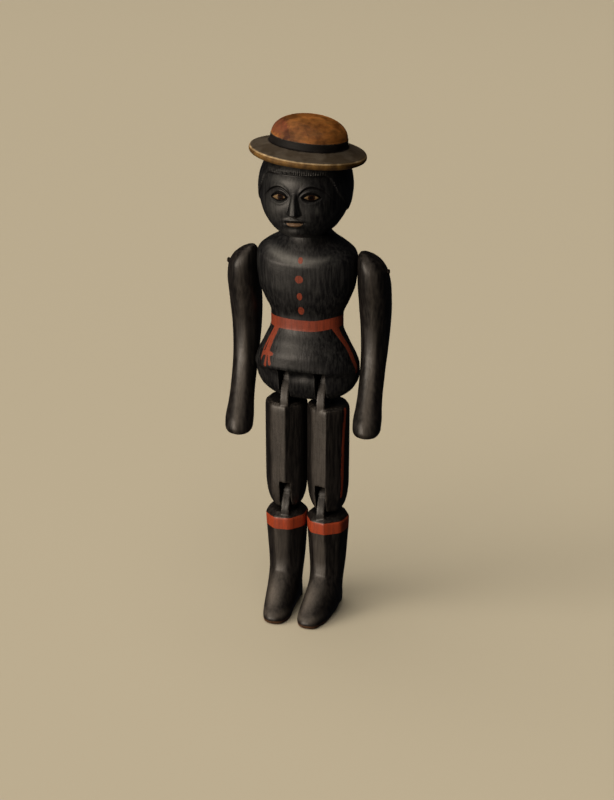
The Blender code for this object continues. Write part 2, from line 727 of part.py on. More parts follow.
def make_boot(label, side):
    boot = loft(f"{label}_boot", [boot_ring(label, side, level) for level in BOOT_LEVELS])
    root = KNEE_ROOT_SHARE * BOOT_TOP_WIDTH / 2
    tongue = plate(
        f"{label}_knee_tongue",
        tongue_outline(BOOT_TOP_HEIGHT, root, KNEE_PIN_HEIGHT),
        side * TONGUE_X,
        TONGUE_THICKNESS,
    )
    boolean(boot, "UNION", tongue)
    heel_front = HEEL_BACK * U - HEEL_LENGTH
    ball = heel_front - ARCH_LENGTH
    arch = plate(
        f"{label}_arch",
        ((heel_front, -CUT), (heel_front, HEEL_HEIGHT), (ball, 0), (ball, -CUT)),
        side * LEG_X,
        CUT / 2,
    )
    boolean(boot, "DIFFERENCE", arch)
    hole = rod(f"{label}_boot_hole", HOLE_RADIUS, -CUT, CUT, KNEE_PIN_HEIGHT)
    boolean(boot, "DIFFERENCE", hole)
    for obj in (boot, tongue, arch, hole):
        hang_from(obj, side * TONGUE_X, 0, KNEE_PIN_HEIGHT)
    smooth(boot, 35)
    paint(boot, "black_painted_wood", (0.018, 0.016, 0.016), 0.45)


def make_leg_pins():
    knee_half = thigh_size(KNEE_PIN_HEIGHT) - PIN_SETBACK
    hip_half = through(TORSO, (HIP_PIN_HEIGHT - CROTCH_HEIGHT) / U)[0] * U - PIN_SETBACK
    pins = [rod("hip_pin", PIN_RADIUS, -hip_half, hip_half, HIP_PIN_HEIGHT)]
    for label, side in SIDES:
        ends = (side * LEG_X - knee_half, side * LEG_X + knee_half)
        pins.append(rod(f"{label}_knee_pin", PIN_RADIUS, *ends, KNEE_PIN_HEIGHT))
    for pin in pins:
        smooth(pin, 40)
        paint(pin, "dark_wood_pin", (0.03, 0.022, 0.016), 0.6)


def main():
    for obj in list(bpy.data.objects):
        bpy.data.objects.remove(obj)
    make_body()
    make_hat()
    for label, side in SIDES:
        make_arm(label, side)
        make_shoulder_pin(label, side)
        make_thigh(label, side)
        make_boot(label, side)
    make_leg_pins()


main()
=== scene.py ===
# %% [markdown]
# # A dancing doll of carved and painted wood
# The real doll is whittled from softwood, painted black, and picked out in red and cream.
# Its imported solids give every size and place. Here each solid gets its carving, its paint
# and its wear, and is then lit and seen as in the picture it is made after.

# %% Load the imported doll
import math

import bmesh
import bpy
import numpy as np
from mathutils import Matrix, Vector


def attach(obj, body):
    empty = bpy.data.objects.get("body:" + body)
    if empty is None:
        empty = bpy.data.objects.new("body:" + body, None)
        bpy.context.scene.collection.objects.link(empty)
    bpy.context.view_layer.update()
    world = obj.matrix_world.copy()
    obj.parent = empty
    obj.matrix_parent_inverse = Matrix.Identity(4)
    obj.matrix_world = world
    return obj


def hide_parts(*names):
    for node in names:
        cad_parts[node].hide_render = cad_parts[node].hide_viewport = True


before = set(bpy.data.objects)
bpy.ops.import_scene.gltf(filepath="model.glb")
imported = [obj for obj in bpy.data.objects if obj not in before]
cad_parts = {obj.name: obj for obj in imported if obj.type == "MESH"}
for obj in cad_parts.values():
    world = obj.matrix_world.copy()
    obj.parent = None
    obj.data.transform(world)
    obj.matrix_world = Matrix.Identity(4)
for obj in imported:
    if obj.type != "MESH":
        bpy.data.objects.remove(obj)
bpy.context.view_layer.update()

# %% [markdown]
# ## The camera
# The doll is seen a little from its own left and from above. A long lens keeps it from
# looking distorted, and one aim point puts it in the middle of the frame.

# %% Place the camera
AZIMUTH = math.radians(16)
CAMERA_DISTANCE = 0.92
CAMERA_HEIGHT = 0.53
AIM_HEIGHT = 0.1327
LENS_MM = 78.5


def linked(name, data):
    """An object for a mesh, camera or lamp, placed in the scene."""
    made = bpy.data.objects.new(name, data)
    bpy.context.scene.collection.objects.link(made)
    return made


camera = linked("camera", bpy.data.cameras.new("camera"))
camera.location = (
    CAMERA_DISTANCE * math.sin(AZIMUTH), -CAMERA_DISTANCE * math.cos(AZIMUTH), CAMERA_HEIGHT)
aim = Vector((-0.00027, -0.00008, AIM_HEIGHT)) - camera.location
camera.rotation_euler = aim.to_track_quat("-Z", "Y").to_euler()
camera.data.lens = LENS_MM
bpy.context.scene.camera = camera
print("camera", [round(v, 3) for v in camera.location])

# %% [markdown]
# ## Sizes
# Everything below is worked out in millimetres and scaled to metres when a mesh is made.
# These are the driving sizes of the solids, so the carved pieces lie where the solids do.

# %% Name the sizes
MM = 0.001
THIGH_WIDTH, THIGH_GAP, BOOT_GAP = 23.6, 1.4, 1.0
TONGUE_X, TONGUE_THICKNESS, SLOT_WIDTH = 10.7, 4.8, 6.4
TONGUE_REACH, SLOT_CLEARANCE = 7.0, 2.0
THIGH_TOP, BOOT_TOP, THIGH_FOOT = 133.2, 63.6, 66.2
CROTCH, HIP_PIN, KNEE_PIN = 136.0, 147.5, 75.0
YOKE, YOKE_DIP = 222.5, 3.4
SHOULDER_PIN = {"right": 213.3, "left": 214.9}
ARM_LENGTH = {"right": 110.5, "left": 105.6}
ARM_RISE, ARM_THICKNESS, ARM_GAP = 10.2, 18.2, 0.5
LEG_X = (THIGH_WIDTH + THIGH_GAP) / 2
BOOT_WIDTH = 2 * LEG_X - BOOT_GAP
SIDES = (("right", -1), ("left", 1))
print("legs stand", LEG_X, "mm off the middle")

# %% [markdown]
# ## Small tools for carving
# A carver works from a few measured sections and lets the knife run smoothly between them.
# `through` does the same for a table of sections. `lofted` lays a skin of quads over rings
# of points, which gives a dense, even mesh that takes fine relief.

# %% Smooth curves through measured sections
def through(stations, at):
    """Values at some heights, on curves through rows of (height, value, value, ...)."""
    table = np.array(stations, float)
    heights, values = table[:, 0], table[:, 1:]
    rise = np.diff(values, axis=0) / np.diff(heights)[:, None]
    before, after = rise[:-1], rise[1:]
    same_way = before * after > 0
    slope = np.vstack([rise[:1], np.zeros_like(before), rise[-1:]])
    slope[1:-1][same_way] = (2 * before * after)[same_way] / (before + after)[same_way]
    at = np.clip(np.asarray(at, float), heights[0], heights[-1])
    i = np.clip(np.searchsorted(heights, at, side="right") - 1, 0, len(heights) - 2)
    span = (heights[i + 1] - heights[i])[..., None]
    t = (at - heights[i])[..., None] / span
    low = values[i] * (1 + 2 * t) * (1 - t) ** 2 + span * slope[i] * t * (1 - t) ** 2
    return low + values[i + 1] * t * t * (3 - 2 * t) - span * slope[i + 1] * t * t * (1 - t)


def bell(distance, reach):
    """1 at no distance, and next to nothing at twice the reach."""
    return np.exp(-((distance / reach) ** 2))


def ramp(value, start, end):
    """0 before start, 1 after end, and smooth in between."""
    t = np.clip((value - start) / (end - start), 0, 1)
    return t * t * (3 - 2 * t)


def around(count):
    return math.tau * np.arange(count) / count


def squared(turn, square):
    """Across and along a unit oval at some angles. Above a squareness of 2 it has corners."""
    return [np.sign(v) * np.abs(v) ** (2 / square) for v in (np.sin(turn), -np.cos(turn))]

# %% A skin over rings of points
def lofted(name, grid):
    """A closed object over a grid of rings x columns x (x, y, z), in millimetres."""
    rings, columns = grid.shape[:2]
    index = np.arange(rings * columns).reshape(rings, columns)
    beside = np.roll(index, -1, axis=1)
    quads = np.stack([index[:-1], beside[:-1], beside[1:], index[1:]], axis=-1)
    faces = quads.reshape(-1, 4).tolist() + [index[0, ::-1].tolist(), index[-1].tolist()]
    mesh = bpy.data.meshes.new(name)
    mesh.from_pydata((grid.reshape(-1, 3) * MM).tolist(), [], faces)
    return linked(name, mesh)


def shaped(name, shape):
    mesh = bpy.data.meshes.new(name)
    shape.to_mesh(mesh)
    shape.free()
    return linked(name, mesh)


def plate(name, outline, middle_x, thickness):
    """A flat plate across X, from an outline of (y, z) points in millimetres."""
    shape = bmesh.new()
    low = [shape.verts.new((middle_x - thickness / 2, y, z)) for y, z in outline]
    pushed = bmesh.ops.extrude_face_region(shape, geom=[shape.faces.new(low)])["geom"]
    moved = [v for v in pushed if isinstance(v, bmesh.types.BMVert)]
    bmesh.ops.translate(shape, verts=moved, vec=(thickness, 0, 0))
    bmesh.ops.recalc_face_normals(shape, faces=shape.faces)
    bmesh.ops.scale(shape, verts=shape.verts, vec=(MM, MM, MM))
    return shaped(name, shape)

# %% [markdown]
# Cutting a slot is a Boolean modifier, baked straight into the mesh. The legs then get a
# voxel remesh: it melts tongue and thigh into one skin and lets every edge be softened a
# little, as years of handling do. The head and body keep their own finer grid, because a
# remesh would blur the face.

# %% Cut, melt together and soften
def baked(piece):
    """Applies the modifiers of a piece to its mesh."""
    view = bpy.context.evaluated_depsgraph_get()
    mesh = bpy.data.meshes.new_from_object(piece.evaluated_get(view))
    piece.modifiers.clear()
    piece.data = mesh
    return piece


def cut(piece, tools, operation="DIFFERENCE"):
    """Cuts the tools out of a piece, or joins them to it, and removes them."""
    for tool in tools:
        modifier = piece.modifiers.new("cut", "BOOLEAN")
        modifier.operation = operation
        modifier.solver = "EXACT"
        modifier.object = tool
    baked(piece)
    for tool in tools:
        bpy.data.objects.remove(tool)
    return piece


def softened(piece, voxel, turns):
    """One even skin of that voxel size, in mm, with its edges eased by a few turns."""
    remesh = piece.modifiers.new("skin", "REMESH")
    remesh.mode = "VOXEL"
    remesh.voxel_size = voxel * MM
    ease = piece.modifiers.new("ease", "SMOOTH")
    ease.iterations = turns
    ease.factor = 0.5
    return baked(piece)


def read(piece, what):
    held = np.empty(len(piece.data.vertices) * 3, np.float32)
    piece.data.vertices.foreach_get(what, held)
    return held.reshape(-1, 3)


def points_of(piece):
    """Its vertices as an array of (x, y, z), in millimetres."""
    return read(piece, "co").astype(float) / MM


def set_points(piece, places):
    piece.data.vertices.foreach_set("co", (places * MM).astype(np.float32).ravel())
    piece.data.update()


def push_out(piece, distance):
    """Moves each vertex along its normal by its own distance, in millimetres."""
    set_points(piece, points_of(piece) + read(piece, "normal") * distance[:, None])

# %% [markdown]
# Painted details are kept on the mesh as distances: how many millimetres each vertex lies
# inside the painted shape. Distances blend cleanly between vertices, so the material can
# draw a crisp brush edge that is finer than the mesh. Wear is kept the same way, from how
# sharply the wood turns outwards: ridges are rubbed first. Where the wood turns inwards,
# the same value darkens hollows as painted shade.

# %% Store values on the mesh
def store(piece, name, values):
    held = piece.data.attributes.new(name, "FLOAT", "POINT")
    held.data.foreach_set("value", np.asarray(values, np.float32))


def oval_reach(x, z, centre_x, centre_z, half_x, half_z):
    """0 in the middle of an oval, and 1 on its edge."""
    return np.hypot((x - centre_x) / half_x, (z - centre_z) / half_z)


def inside_stroke(places, route, half_widths):
    """Millimetres inside a brush stroke along a route of (x, y, z) points."""
    best = np.full(len(places), -1e3)
    route = np.array(route, float)
    for start, end, first, last in zip(route, route[1:], half_widths, half_widths[1:]):
        along = end - start
        share = np.clip((places - start) @ along / (along @ along), 0, 1)
        gap = np.linalg.norm(places - start - share[:, None] * along, axis=1)
        best = np.maximum(best, first + (last - first) * share - gap)
    return best


SHORTEST_EDGE, SHARPEST = 0.2, 0.6  # mm, and turn per mm


def store_wear(piece, exposed=1.0, passes=3):
    """How sharply the surface turns outwards at each vertex, evened out a little, and
    scaled on ridges by how exposed they are to rubbing."""
    mesh = piece.data
    ends = np.empty(len(mesh.edges) * 2, np.int32)
    mesh.edges.foreach_get("vertices", ends)
    first, last = ends.reshape(-1, 2).T
    normals, places = read(piece, "normal"), points_of(piece)
    gap = places[last] - places[first]
    length_2 = np.maximum((gap ** 2).sum(axis=1), SHORTEST_EDGE ** 2)
    count = np.maximum(np.bincount(ends, minlength=len(places)), 1)
    turn = np.bincount(first, -(normals[first] * gap).sum(axis=1) / length_2, len(places))
    turn += np.bincount(last, (normals[last] * gap).sum(axis=1) / length_2, len(places))
    turn = np.clip(turn / count, -SHARPEST, SHARPEST)
    for _ in range(passes):
        near = np.bincount(first, turn[last], len(places))
        near = near + np.bincount(last, turn[first], len(places))
        turn = (turn + near / count) / 2
    store(piece, "wear_and_shade", np.where(turn > 0, turn * exposed, turn))

# %% [markdown]
# The fronts of the limbs are the most handled, so their paint is rubbed off by the way that
# each point of them faces. The lighter paint is also a painted highlight, laid on the faces
# where the highlights fall.

# %% Wear on the fronts
def front_wear_and_highlight(piece, middle, spread, amount):
    """The share rubbed off, and lightened as a painted highlight, near so many degrees from the
    front, towards the doll's left.
    """
    x, y, _ = read(piece, "normal").T
    way = np.degrees(np.arctan2(x, -y)) - middle
    return amount * bell(way, spread) * ramp(np.hypot(x, y), 0.15, 0.5)

# %% [markdown]
# ## The body and head
# On the real doll they are one block of wood: a chest, a nipped waist, full hips with two
# slots for the legs, and a round head whose face is cut in low relief. Each height has a
# half width, a front, a back and a squareness, and the face is added on top.

# %% Sections of the body, heights above the crotch
TORSO = (
    (0, 13, -6, 8, 2.2), (1.4, 18.8, -8.8, 10.8, 2.3),
    (3.8, 23, -10.6, 12.8, 2.4), (7.6, 27, -12.2, 14.6, 2.4),
    (14, 29.8, -13.2, 16.2, 2.4), (17.2, 30, -14.2, 16.6, 2.4),
    (20.8, 30.1, -17, 16.8, 2.4), (27, 28.4, -16.8, 16, 2.3),
    (35, 24.6, -14.8, 13.8, 2.2),
    (45, 20.8, -12, 11.2, 2.2), (51, 20.8, -12, 11.2, 2.2),
    (60, 24.2, -13.8, 12.8, 2.4), (69, 27.4, -15.2, 14.4, 2.6),
    (79, 28.4, -15.8, 15.2, 2.6), (85.5, 28.4, -15.9, 15.2, 2.5),
    (89, 27.2, -14.9, 14.6, 2.4), (93, 22.4, -13, 13.8, 2.2),
    (96.4, 16.6, -11.4, 13, 2), (98, 14.4, -11, 12.8, 2),
)
HEAD = (
    (98, 14.4, -11, 12.8, 2), (99.4, 13.6, -15, 13, 2),
    (100.8, 13.4, -20.2, 13.4, 2), (102.4, 15.2, -22.8, 13.8, 2),
    (105, 18, -24.2, 13, 2), (108, 20.1, -25, 13.6, 2.1),
    (112, 22.5, -25.7, 15, 2.1), (119, 24.8, -26.2, 18.4, 2.1),
    (126, 25.3, -26.4, 20.4, 2.1), (132, 24.6, -26, 20.6, 2.1),
    (138, 22.6, -24, 19, 2.1), (144, 19.4, -20.8, 16.4, 2.1),
    (149, 15, -16, 12.4, 2.1),
)
NECK_RISE = 98.0
print(len(TORSO) + len(HEAD), "sections from crotch to crown")

# %% [markdown]
# The face follows a carver's order: sockets are hollowed under the brows, the wedge of the
# nose is left standing, and eyes and lips are cut in last with the point of the knife.
# Brows, lids and lips are curves across the front, which paint and relief share.

# %% Lines of the face, in mm from the middle and above the crotch
EYE_X, EYE_Z = 9.0, 124.2
EYE_HALF, EYE_OVER, EYE_UNDER = 4.7, 2.2, 1.9
BROW_Z = 130.2
NOSE_TOP, NOSE_TIP, NOSE_BASE, NOSE_REACH = 127.0, 115.4, 113.3, 3.6
MOUTH_Z, MOUTH_HALF = 110.9, 5.3
CHIN_Z = 104.2
LIP_PARTING = 0.35  # from the line of the mouth to the lip
FACE_LEAN = 0.05  # the face is cut a little higher on the doll's left


def eye_side(x):
    return np.abs(x) - EYE_X


def brow_line(x):
    side = eye_side(x)
    return BROW_Z + FACE_LEAN * x - np.where(side > 0, 0.07, 0.1) * side ** 2


def inside_eye(x, z, margin=0.0):
    """Millimetres inside the almond of the eye, less a margin for its outline."""
    side = eye_side(x)
    along = np.clip(1 - (side / EYE_HALF) ** 2, 0, 1)
    up = z - EYE_Z - FACE_LEAN * x + 0.05 * side
    lid = np.where(up > 0, EYE_OVER, EYE_UNDER) * along
    past = np.maximum(np.abs(side) - EYE_HALF, 0)
    return np.minimum(lid - np.abs(up), EYE_HALF - np.abs(side)) - past - margin


def mouth_line(x):
    return MOUTH_Z + FACE_LEAN * x - 0.014 * x ** 2


def inside_lip(x, z):
    """Millimetres inside the lower lip."""
    open_share = np.clip(1 - (x / (MOUTH_HALF - 0.4)) ** 2, 0, 1)
    top = mouth_line(x) - LIP_PARTING
    bottom = mouth_line(x) - LIP_PARTING - 2.3 * open_share ** 0.8
    return np.minimum(np.minimum(top - z, z - bottom), MOUTH_HALF - 0.4 - np.abs(x))

# %% Relief of the face
def nose(x, z):
    """A long wedge with a flat front between two steep sides, cut off square below."""
    down = np.where(z > NOSE_TIP, (NOSE_TOP - z) / (NOSE_TOP - NOSE_TIP),
                    (z - NOSE_BASE) / (NOSE_TIP - NOSE_BASE))
    down = np.clip(down, 0, 1)
    front_half, base_half = 0.5 + 0.8 * down, 1.3 + 2.9 * down ** 1.3
    sides = np.clip((base_half - np.abs(x)) / (base_half - front_half), 0, 1)
    return NOSE_REACH * down ** 0.85 * sides ** 0.9


def face_relief(x, z):
    """Millimetres that the carved face stands out from the plain head."""
    side = eye_side(x)
    over_brow = z - brow_line(x)
    aside = ramp(np.abs(x), 1.4, 4.0)
    brow = 0.7 * bell(over_brow - 0.9, 1.3) - 0.8 * bell(over_brow + 0.5, 0.7)
    brow = brow * bell(side, 8) * aside
    socket = -1.9 * bell(side, 5.8) * bell(z - EYE_Z - 0.4, 3.4)
    depth = inside_eye(x, z)
    ball = 0.9 * ramp(depth, -0.2, 1.8) - 0.7 * bell(depth + 0.1, 0.4)
    lid = 0.45 * bell(depth + 1.3, 0.9) * bell(side, 6.5)
    cheek = 0.5 * bell(np.abs(x) - 11, 5) * bell(z - 115.5, 4)
    lip_window = bell(x, MOUTH_HALF * 1.05)
    from_line = z - mouth_line(x)
    lips = lip_window * (0.8 * bell(from_line - 1.2, 0.9) + 1.2 * bell(from_line + 1.6, 1.2))
    parting = -0.8 * bell(from_line, 0.4) * ramp(MOUTH_HALF + 0.8 - np.abs(x), 0, 1.2)
    chin = 0.9 * bell(x, 6.5) * bell(z - CHIN_Z, 2.4)
    return nose(x, z) + brow + socket + ball + lid + cheek + lips + parting + chin

# %% [markdown]
# The hair is a cap left standing a little proud of the skin. It is cut in a short fringe
# of upright gouge strokes over the forehead, and its edge runs down past the temples.

# %% Hair and its fringe
HAIR_THICKNESS = 0.8
FRINGE_PITCH = 1.15  # millimetres from one gouge stroke to the next
FRINGE_END = 46  # degrees from the front, either way
HAIR_EDGE = ((0, 136.6), (40, 136.4), (48, 134.7), (59.5, 125.8), (100, 113), (180, 110))


def hair_edge(degrees):
    """The height of the hair's edge, at degrees from the front either way."""
    return through(HAIR_EDGE, degrees)[..., 0]


def hair_relief(x, y, z):
    turn = np.abs(np.degrees(np.arctan2(x, -y)))
    above = z - hair_edge(turn)
    cap = HAIR_THICKNESS * ramp(above, -0.5, 0.6)
    stroke = np.abs(np.sin(np.pi * x / FRINGE_PITCH))
    fringe = -0.5 * (1 - stroke) ** 0.7 * bell(above - 0.8, 1.2) * ramp(FRINGE_END - turn, 0, 8)
    return cap + fringe * ramp(above, -0.4, 0.3)

# %% Build the body and head
BODY_COLUMNS = 240
FRONT_CROWDING = 0.5  # more columns across the face
BODY_LEVELS = np.concatenate([
    np.arange(0, 8, 0.5), np.arange(8, 98, 1.0), np.arange(98, 103, 0.35),
    np.arange(103, 138, 0.3), np.arange(138, 149.1, 0.6)])


def body_grid():
    turn = around(BODY_COLUMNS)
    turn = turn - FRONT_CROWDING * np.sin(turn)
    z = BODY_LEVELS[:, None] + 0 * turn
    head = BODY_LEVELS >= NECK_RISE
    sections = np.where(head[:, None], through(HEAD, BODY_LEVELS), through(TORSO, BODY_LEVELS))
    half, front, back, square = (sections[:, k, None] for k in range(4))
    across, along = squared(turn, square)
    middle = (front + back) / 2
    x, y = half * across, middle + (back - front) / 2 * along
    hair = np.where(head[:, None], hair_relief(x, y - middle, z), 0)
    x, y = x * (1 + hair / half), y + hair * along
    face = face_relief(x, z) * np.minimum(1, np.maximum(0, -1.6 * along))
    y = y - np.where(head[:, None], face, 0)
    z = z - YOKE_DIP * bell(z + CROTCH - YOKE, 7) * np.maximum(0, -along) ** 3
    return np.stack([x, y, z + CROTCH], axis=-1)


BELLY_EDGE, BELLY_HOLLOW = 157.6, 152.6


def belly_fold(places):
    """Under the belly's lower edge the wood is cut back, which leaves a crisp ridge."""
    x, y, z = places.T
    front = ramp(-y, 7, 13) * ramp(22 - np.abs(x), 0, 12)
    between_slots = bell(x, 6.5)
    hollow = (0.5 + 1.2 * between_slots) * bell(z - BELLY_HOLLOW, 3.0)
    return front * (0.12 * bell(z - BELLY_EDGE, 1.6) - hollow)


body = lofted("doll_body", body_grid())
push_out(body, belly_fold(points_of(body)))
print(len(body.data.polygons), "quads in the body")

# %% [markdown]
# The top of the head is sawn flat for the hat, and two slots are sawn up into the hips.

# %% Saw the head flat and slot the hips
HAT_TILT, HAT_TIP = math.radians(4.9), math.radians(3.0)
HAT_SEAT, HAT_FIT = 276.9, 0.3
HAT_TURN = Matrix.Rotation(HAT_TILT, 3, "Y") @ Matrix.Rotation(-HAT_TIP, 3, "X")


def sawn(piece, place, normal):
    """Cuts away what lies beyond a plane and closes the cut."""
    shape = bmesh.new()
    shape.from_mesh(piece.data)
    geometry = [*shape.verts, *shape.edges, *shape.faces]
    found = bmesh.ops.bisect_plane(
        shape, geom=geometry, plane_co=place, plane_no=normal, clear_outer=True)
    rim = [e for e in found["geom_cut"] if isinstance(e, bmesh.types.BMEdge)]
    bmesh.ops.edgeloop_fill(shape, edges=rim)
    bmesh.ops.recalc_face_normals(shape, faces=shape.faces)
    shape.to_mesh(piece.data)
    shape.free()


def slot_cutter(side, foot, pin_height):
    """Saws out the slot about a pin, open below and right through from front to back."""
    top = pin_height + TONGUE_REACH + SLOT_CLEARANCE
    outline = ((-60, foot), (60, foot), (60, top), (-60, top))
    return plate("slot", outline, side * TONGUE_X, SLOT_WIDTH)


seat_up = HAT_TURN @ Vector((0, 0, 1))
sawn(body, Vector((0, 0, HAT_SEAT * MM)) - seat_up * HAT_FIT * MM, seat_up)
cut(body, [slot_cutter(side, 100, HIP_PIN) for _, side in SIDES])
CHIN_UNDER = 103  # the brim shields the head above it
rise = points_of(body)[:, 2] - CROTCH
store_wear(body, exposed=np.where(rise > CHIN_UNDER, 0.3, 1.0))
print("two slots", SLOT_WIDTH, "mm wide in the hips")

# %% [markdown]
# The painted trim of the body: a belt, four buttons down the front, a sash end with a bow
# on one hip, and a stripe down the other.

# %% Paint marks of the body
BELT_LOW, BELT_HIGH, BELT_LIFT = 179.4, 185.9, 2.2
BUTTONS = ((0.3, 221.9, 1.5, 1.9), (-0.4, 211.1, 2.35, 2.4), (-0.4, 200.8, 1.6, 2.4),
           (0, 191.9, 1.8, 2.6))
SASH = ((-15.2, -9.5, 180), (-17.8, -10.5, 172.3), (-19.6, -12.2, 165.5))
SASH_EDGE = ((-16.9, -8.6, 179.5), (-19.6, -10.2, 172), (-20.9, -11.6, 166.5))
TAILS = (((-20, -12.2, 164), (-20.9, -12.9, 157.4)),
         ((-18.8, -12.9, 164), (-18, -14.1, 158.6)))
BOW = ((-22.2, -11.5, 164), (-19.6, -12.7, 164.9), (-16.8, -13.8, 164.6))
HIP_LINE = ((-17.4, -8.4, 178.5), (-21.6, -9.5, 168.5), (-23.3, -10.9, 162.2),
            (-24.0, -11.3, 156.4))
HIP_STRIPE = ((18, -6.9, 182), (21, -5.4, 175.8), (24.6, -4.3, 169.8),
              (27.9, -4.6, 162.4), (29.7, -3.4, 155))
FAR_OUTSIDE = -50

places = points_of(body)
x, y, z = places.T
in_front = np.where(y < 0, 0, FAR_OUTSIDE)
lift = BELT_LIFT * ramp(x, 4, 22)
red = np.minimum(z - BELT_LOW - lift, BELT_HIGH + lift - z)
for oval in BUTTONS:
    button = (1 - oval_reach(x, z, *oval)) * min(oval[2:])
    red = np.maximum(red, button + in_front)
for route, widths in ((SASH, (1.6, 1.3, 1.1)), (SASH_EDGE, (0.9, 0.8, 0.8)),
                      (BOW, (1.2, 1.4, 1.1)), (TAILS[0], (0.9, 1.2)), (TAILS[1], (0.9, 1.2)),
                      (HIP_LINE, (0.7, 0.6, 0.7, 0.5)), (HIP_STRIPE, (2.2, 1.7, 1.6, 1.7, 1.2))):
    red = np.maximum(red, inside_stroke(places, route, widths))
store(body, "red_paint", red)
print("red paint covers", int((red > 0).sum()), "of", len(red), "points")

# %% [markdown]
# The eyes look a little to the doll's right. Lashes and lips are painted with a fine brush.
# The dark lines under the brows, along the edge of the hair, in the fringe's gouges, in the
# mouth's parting and at the nostrils are painted shade of those carved hollows. All lie on
# the same curves that the face was carved by.

# %% Paint marks of the face
IRIS, PUPIL = 1.9, 1.0
rise = z - CROTCH
iris_x = x - np.sign(x) * EYE_X - np.where(x < 0, 0.9, 0.1)
iris_z = rise - EYE_Z - FACE_LEAN * x - 0.25
store(body, "eye_white", np.minimum(inside_eye(x, rise, 0.7) + in_front, 5))
store(body, "iris", IRIS - np.hypot(iris_x, iris_z) + in_front)
store(body, "pupil", PUPIL - np.hypot(iris_x, iris_z) + in_front)
store(body, "lip", inside_lip(x, rise) + in_front)
# Dark lines under the brows, at the hair's edge, in the fringe's gouges, in the mouth's parting
# and at the nostrils are painted shade; the lashes are drawn.
brow_reach = np.minimum(np.abs(x) - 1.6, 19.5 - np.abs(x))
brow_stroke = 0.15 + 0.35 * ramp(brow_reach, 0, 5) - np.abs(rise - brow_line(x))
lid_fold = np.where(rise > EYE_Z + FACE_LEAN * x, 0.9, 0.45)
lashes = np.minimum(inside_eye(x, rise, -lid_fold), -inside_eye(x, rise, 0.65))
parting = 0.38 - np.abs(rise - mouth_line(x) + 0.05)
parting = np.minimum(parting, MOUTH_HALF + 0.9 - np.abs(x))
nostrils = 0.5 - np.hypot(np.abs(x) - 1.9, (rise - NOSE_BASE + 0.4) / 0.8)
head_middle = through(HEAD, rise)[..., 1:3].mean(axis=-1)
turn = np.abs(np.degrees(np.arctan2(x, head_middle - y)))
over_edge = rise - hair_edge(turn)
gouged = 0.26 - FRINGE_PITCH / np.pi * np.abs(np.sin(np.pi * x / FRINGE_PITCH)) * 0.8
fringe = np.minimum(np.minimum(gouged, 1.9 - over_edge), over_edge + 0.4)
hairline = 0.45 - np.abs(over_edge + 0.35)
temple = np.where(x < 0, hairline, FAR_OUTSIDE)
hair_edge_shadow = np.where(turn < FRINGE_END, np.maximum(fringe, hairline), temple)
brows = np.minimum(brow_stroke, brow_reach)
drawn_and_shaded = np.maximum.reduce([brows, lashes, parting, nostrils, hair_edge_shadow])
store(body, "drawn_and_shaded", np.where(rise > NECK_RISE + 2, drawn_and_shaded + in_front, FAR_OUTSIDE))
print("drawn lines cover", int((drawn_and_shaded > 0).sum()), "points")

# %% [markdown]
# Hands have rubbed the black thin on what stands out in front, in soft patches. The same lighter
# patches, and the band along the yoke that is lightest on the doll's right, are also painted
# highlights, laid where the highlights fall.

# %% Where hands have rubbed the body, with its painted highlights
# middle, half size, and how far the paint is rubbed and lightened as a painted highlight
RUBBED_AND_HIGHLIT = ((-4.5, 132.8, 9, 3, 0.4), (-0.9, 119.5, 0.8, 5.5, 0.5), (-1.5, 112.6, 3.4, 0.6, 0.6),
          (-12, 116, 5, 7, 0.24), (-3, 104.8, 6, 3, 0.16), (12.1, 117.8, 1, 2.4, 0.25),
          (7, 116, 4, 6, 0.1), (-8, 36, 10, 7, 0.1), (-8, 73, 11, 12, 0.1))
TEMPLE_LOCK = ((18.2, -18, 270.7), (20.4, -14.5, 266.6), (22.3, -11.5, 261.8))
# A lighter band along the yoke's edge: worn paint, and a painted highlight where the edge
# catches the light.
yoke_line = YOKE - 1.3 + 4.2 * (np.abs(x) / 22) ** 1.6 + 0.06 * np.maximum(-x - 1, 0)
yoke_worn_and_lit = 0.9 * ramp(30 - x, 0, 34)
yoke_half = 1.2 + 1.6 * yoke_worn_and_lit ** 2
rubbed_and_highlit = yoke_worn_and_lit * bell(z - yoke_line, yoke_half) * ramp(24 - np.abs(x), 0, 14)
for *oval, amount in RUBBED_AND_HIGHLIT:
    rubbed_and_highlit = np.maximum(rubbed_and_highlit, amount * bell(oval_reach(x, rise, *oval), 1))
lock = inside_stroke(places, TEMPLE_LOCK, (0.5, 0.4, 0.3))
rubbed_and_highlit = np.maximum(rubbed_and_highlit, ramp(lock, -0.3, 0.3))
ticked = 0.3 * bell(over_edge - 0.9, 0.9) * ramp(FRINGE_END - turn, 0, 6)
rubbed_and_highlit = np.maximum(rubbed_and_highlit, ticked) * ramp(-y, 2, 8)
store(body, "rubbed_and_highlit", rubbed_and_highlit)
print("well rubbed at", int((rubbed_and_highlit > 0.2).sum()), "points")

# %% [markdown]
# ## The hat
# The real hat is turned on a lathe: a low domed crown, a painted band at its foot, and a
# gently sloping brim with a bevelled rim. A profile spun round an axis is exactly that.

# %% Turn the hat
BRIM, CROWN, RIM, BRIM_RISE, BAND, DOME = 32.2, 21.3, 4.0, 3.2, 4.2, 10.6
FOOT = RIM + BRIM_RISE
BAND_TOP = FOOT + BAND
HAT_COLUMNS = 144


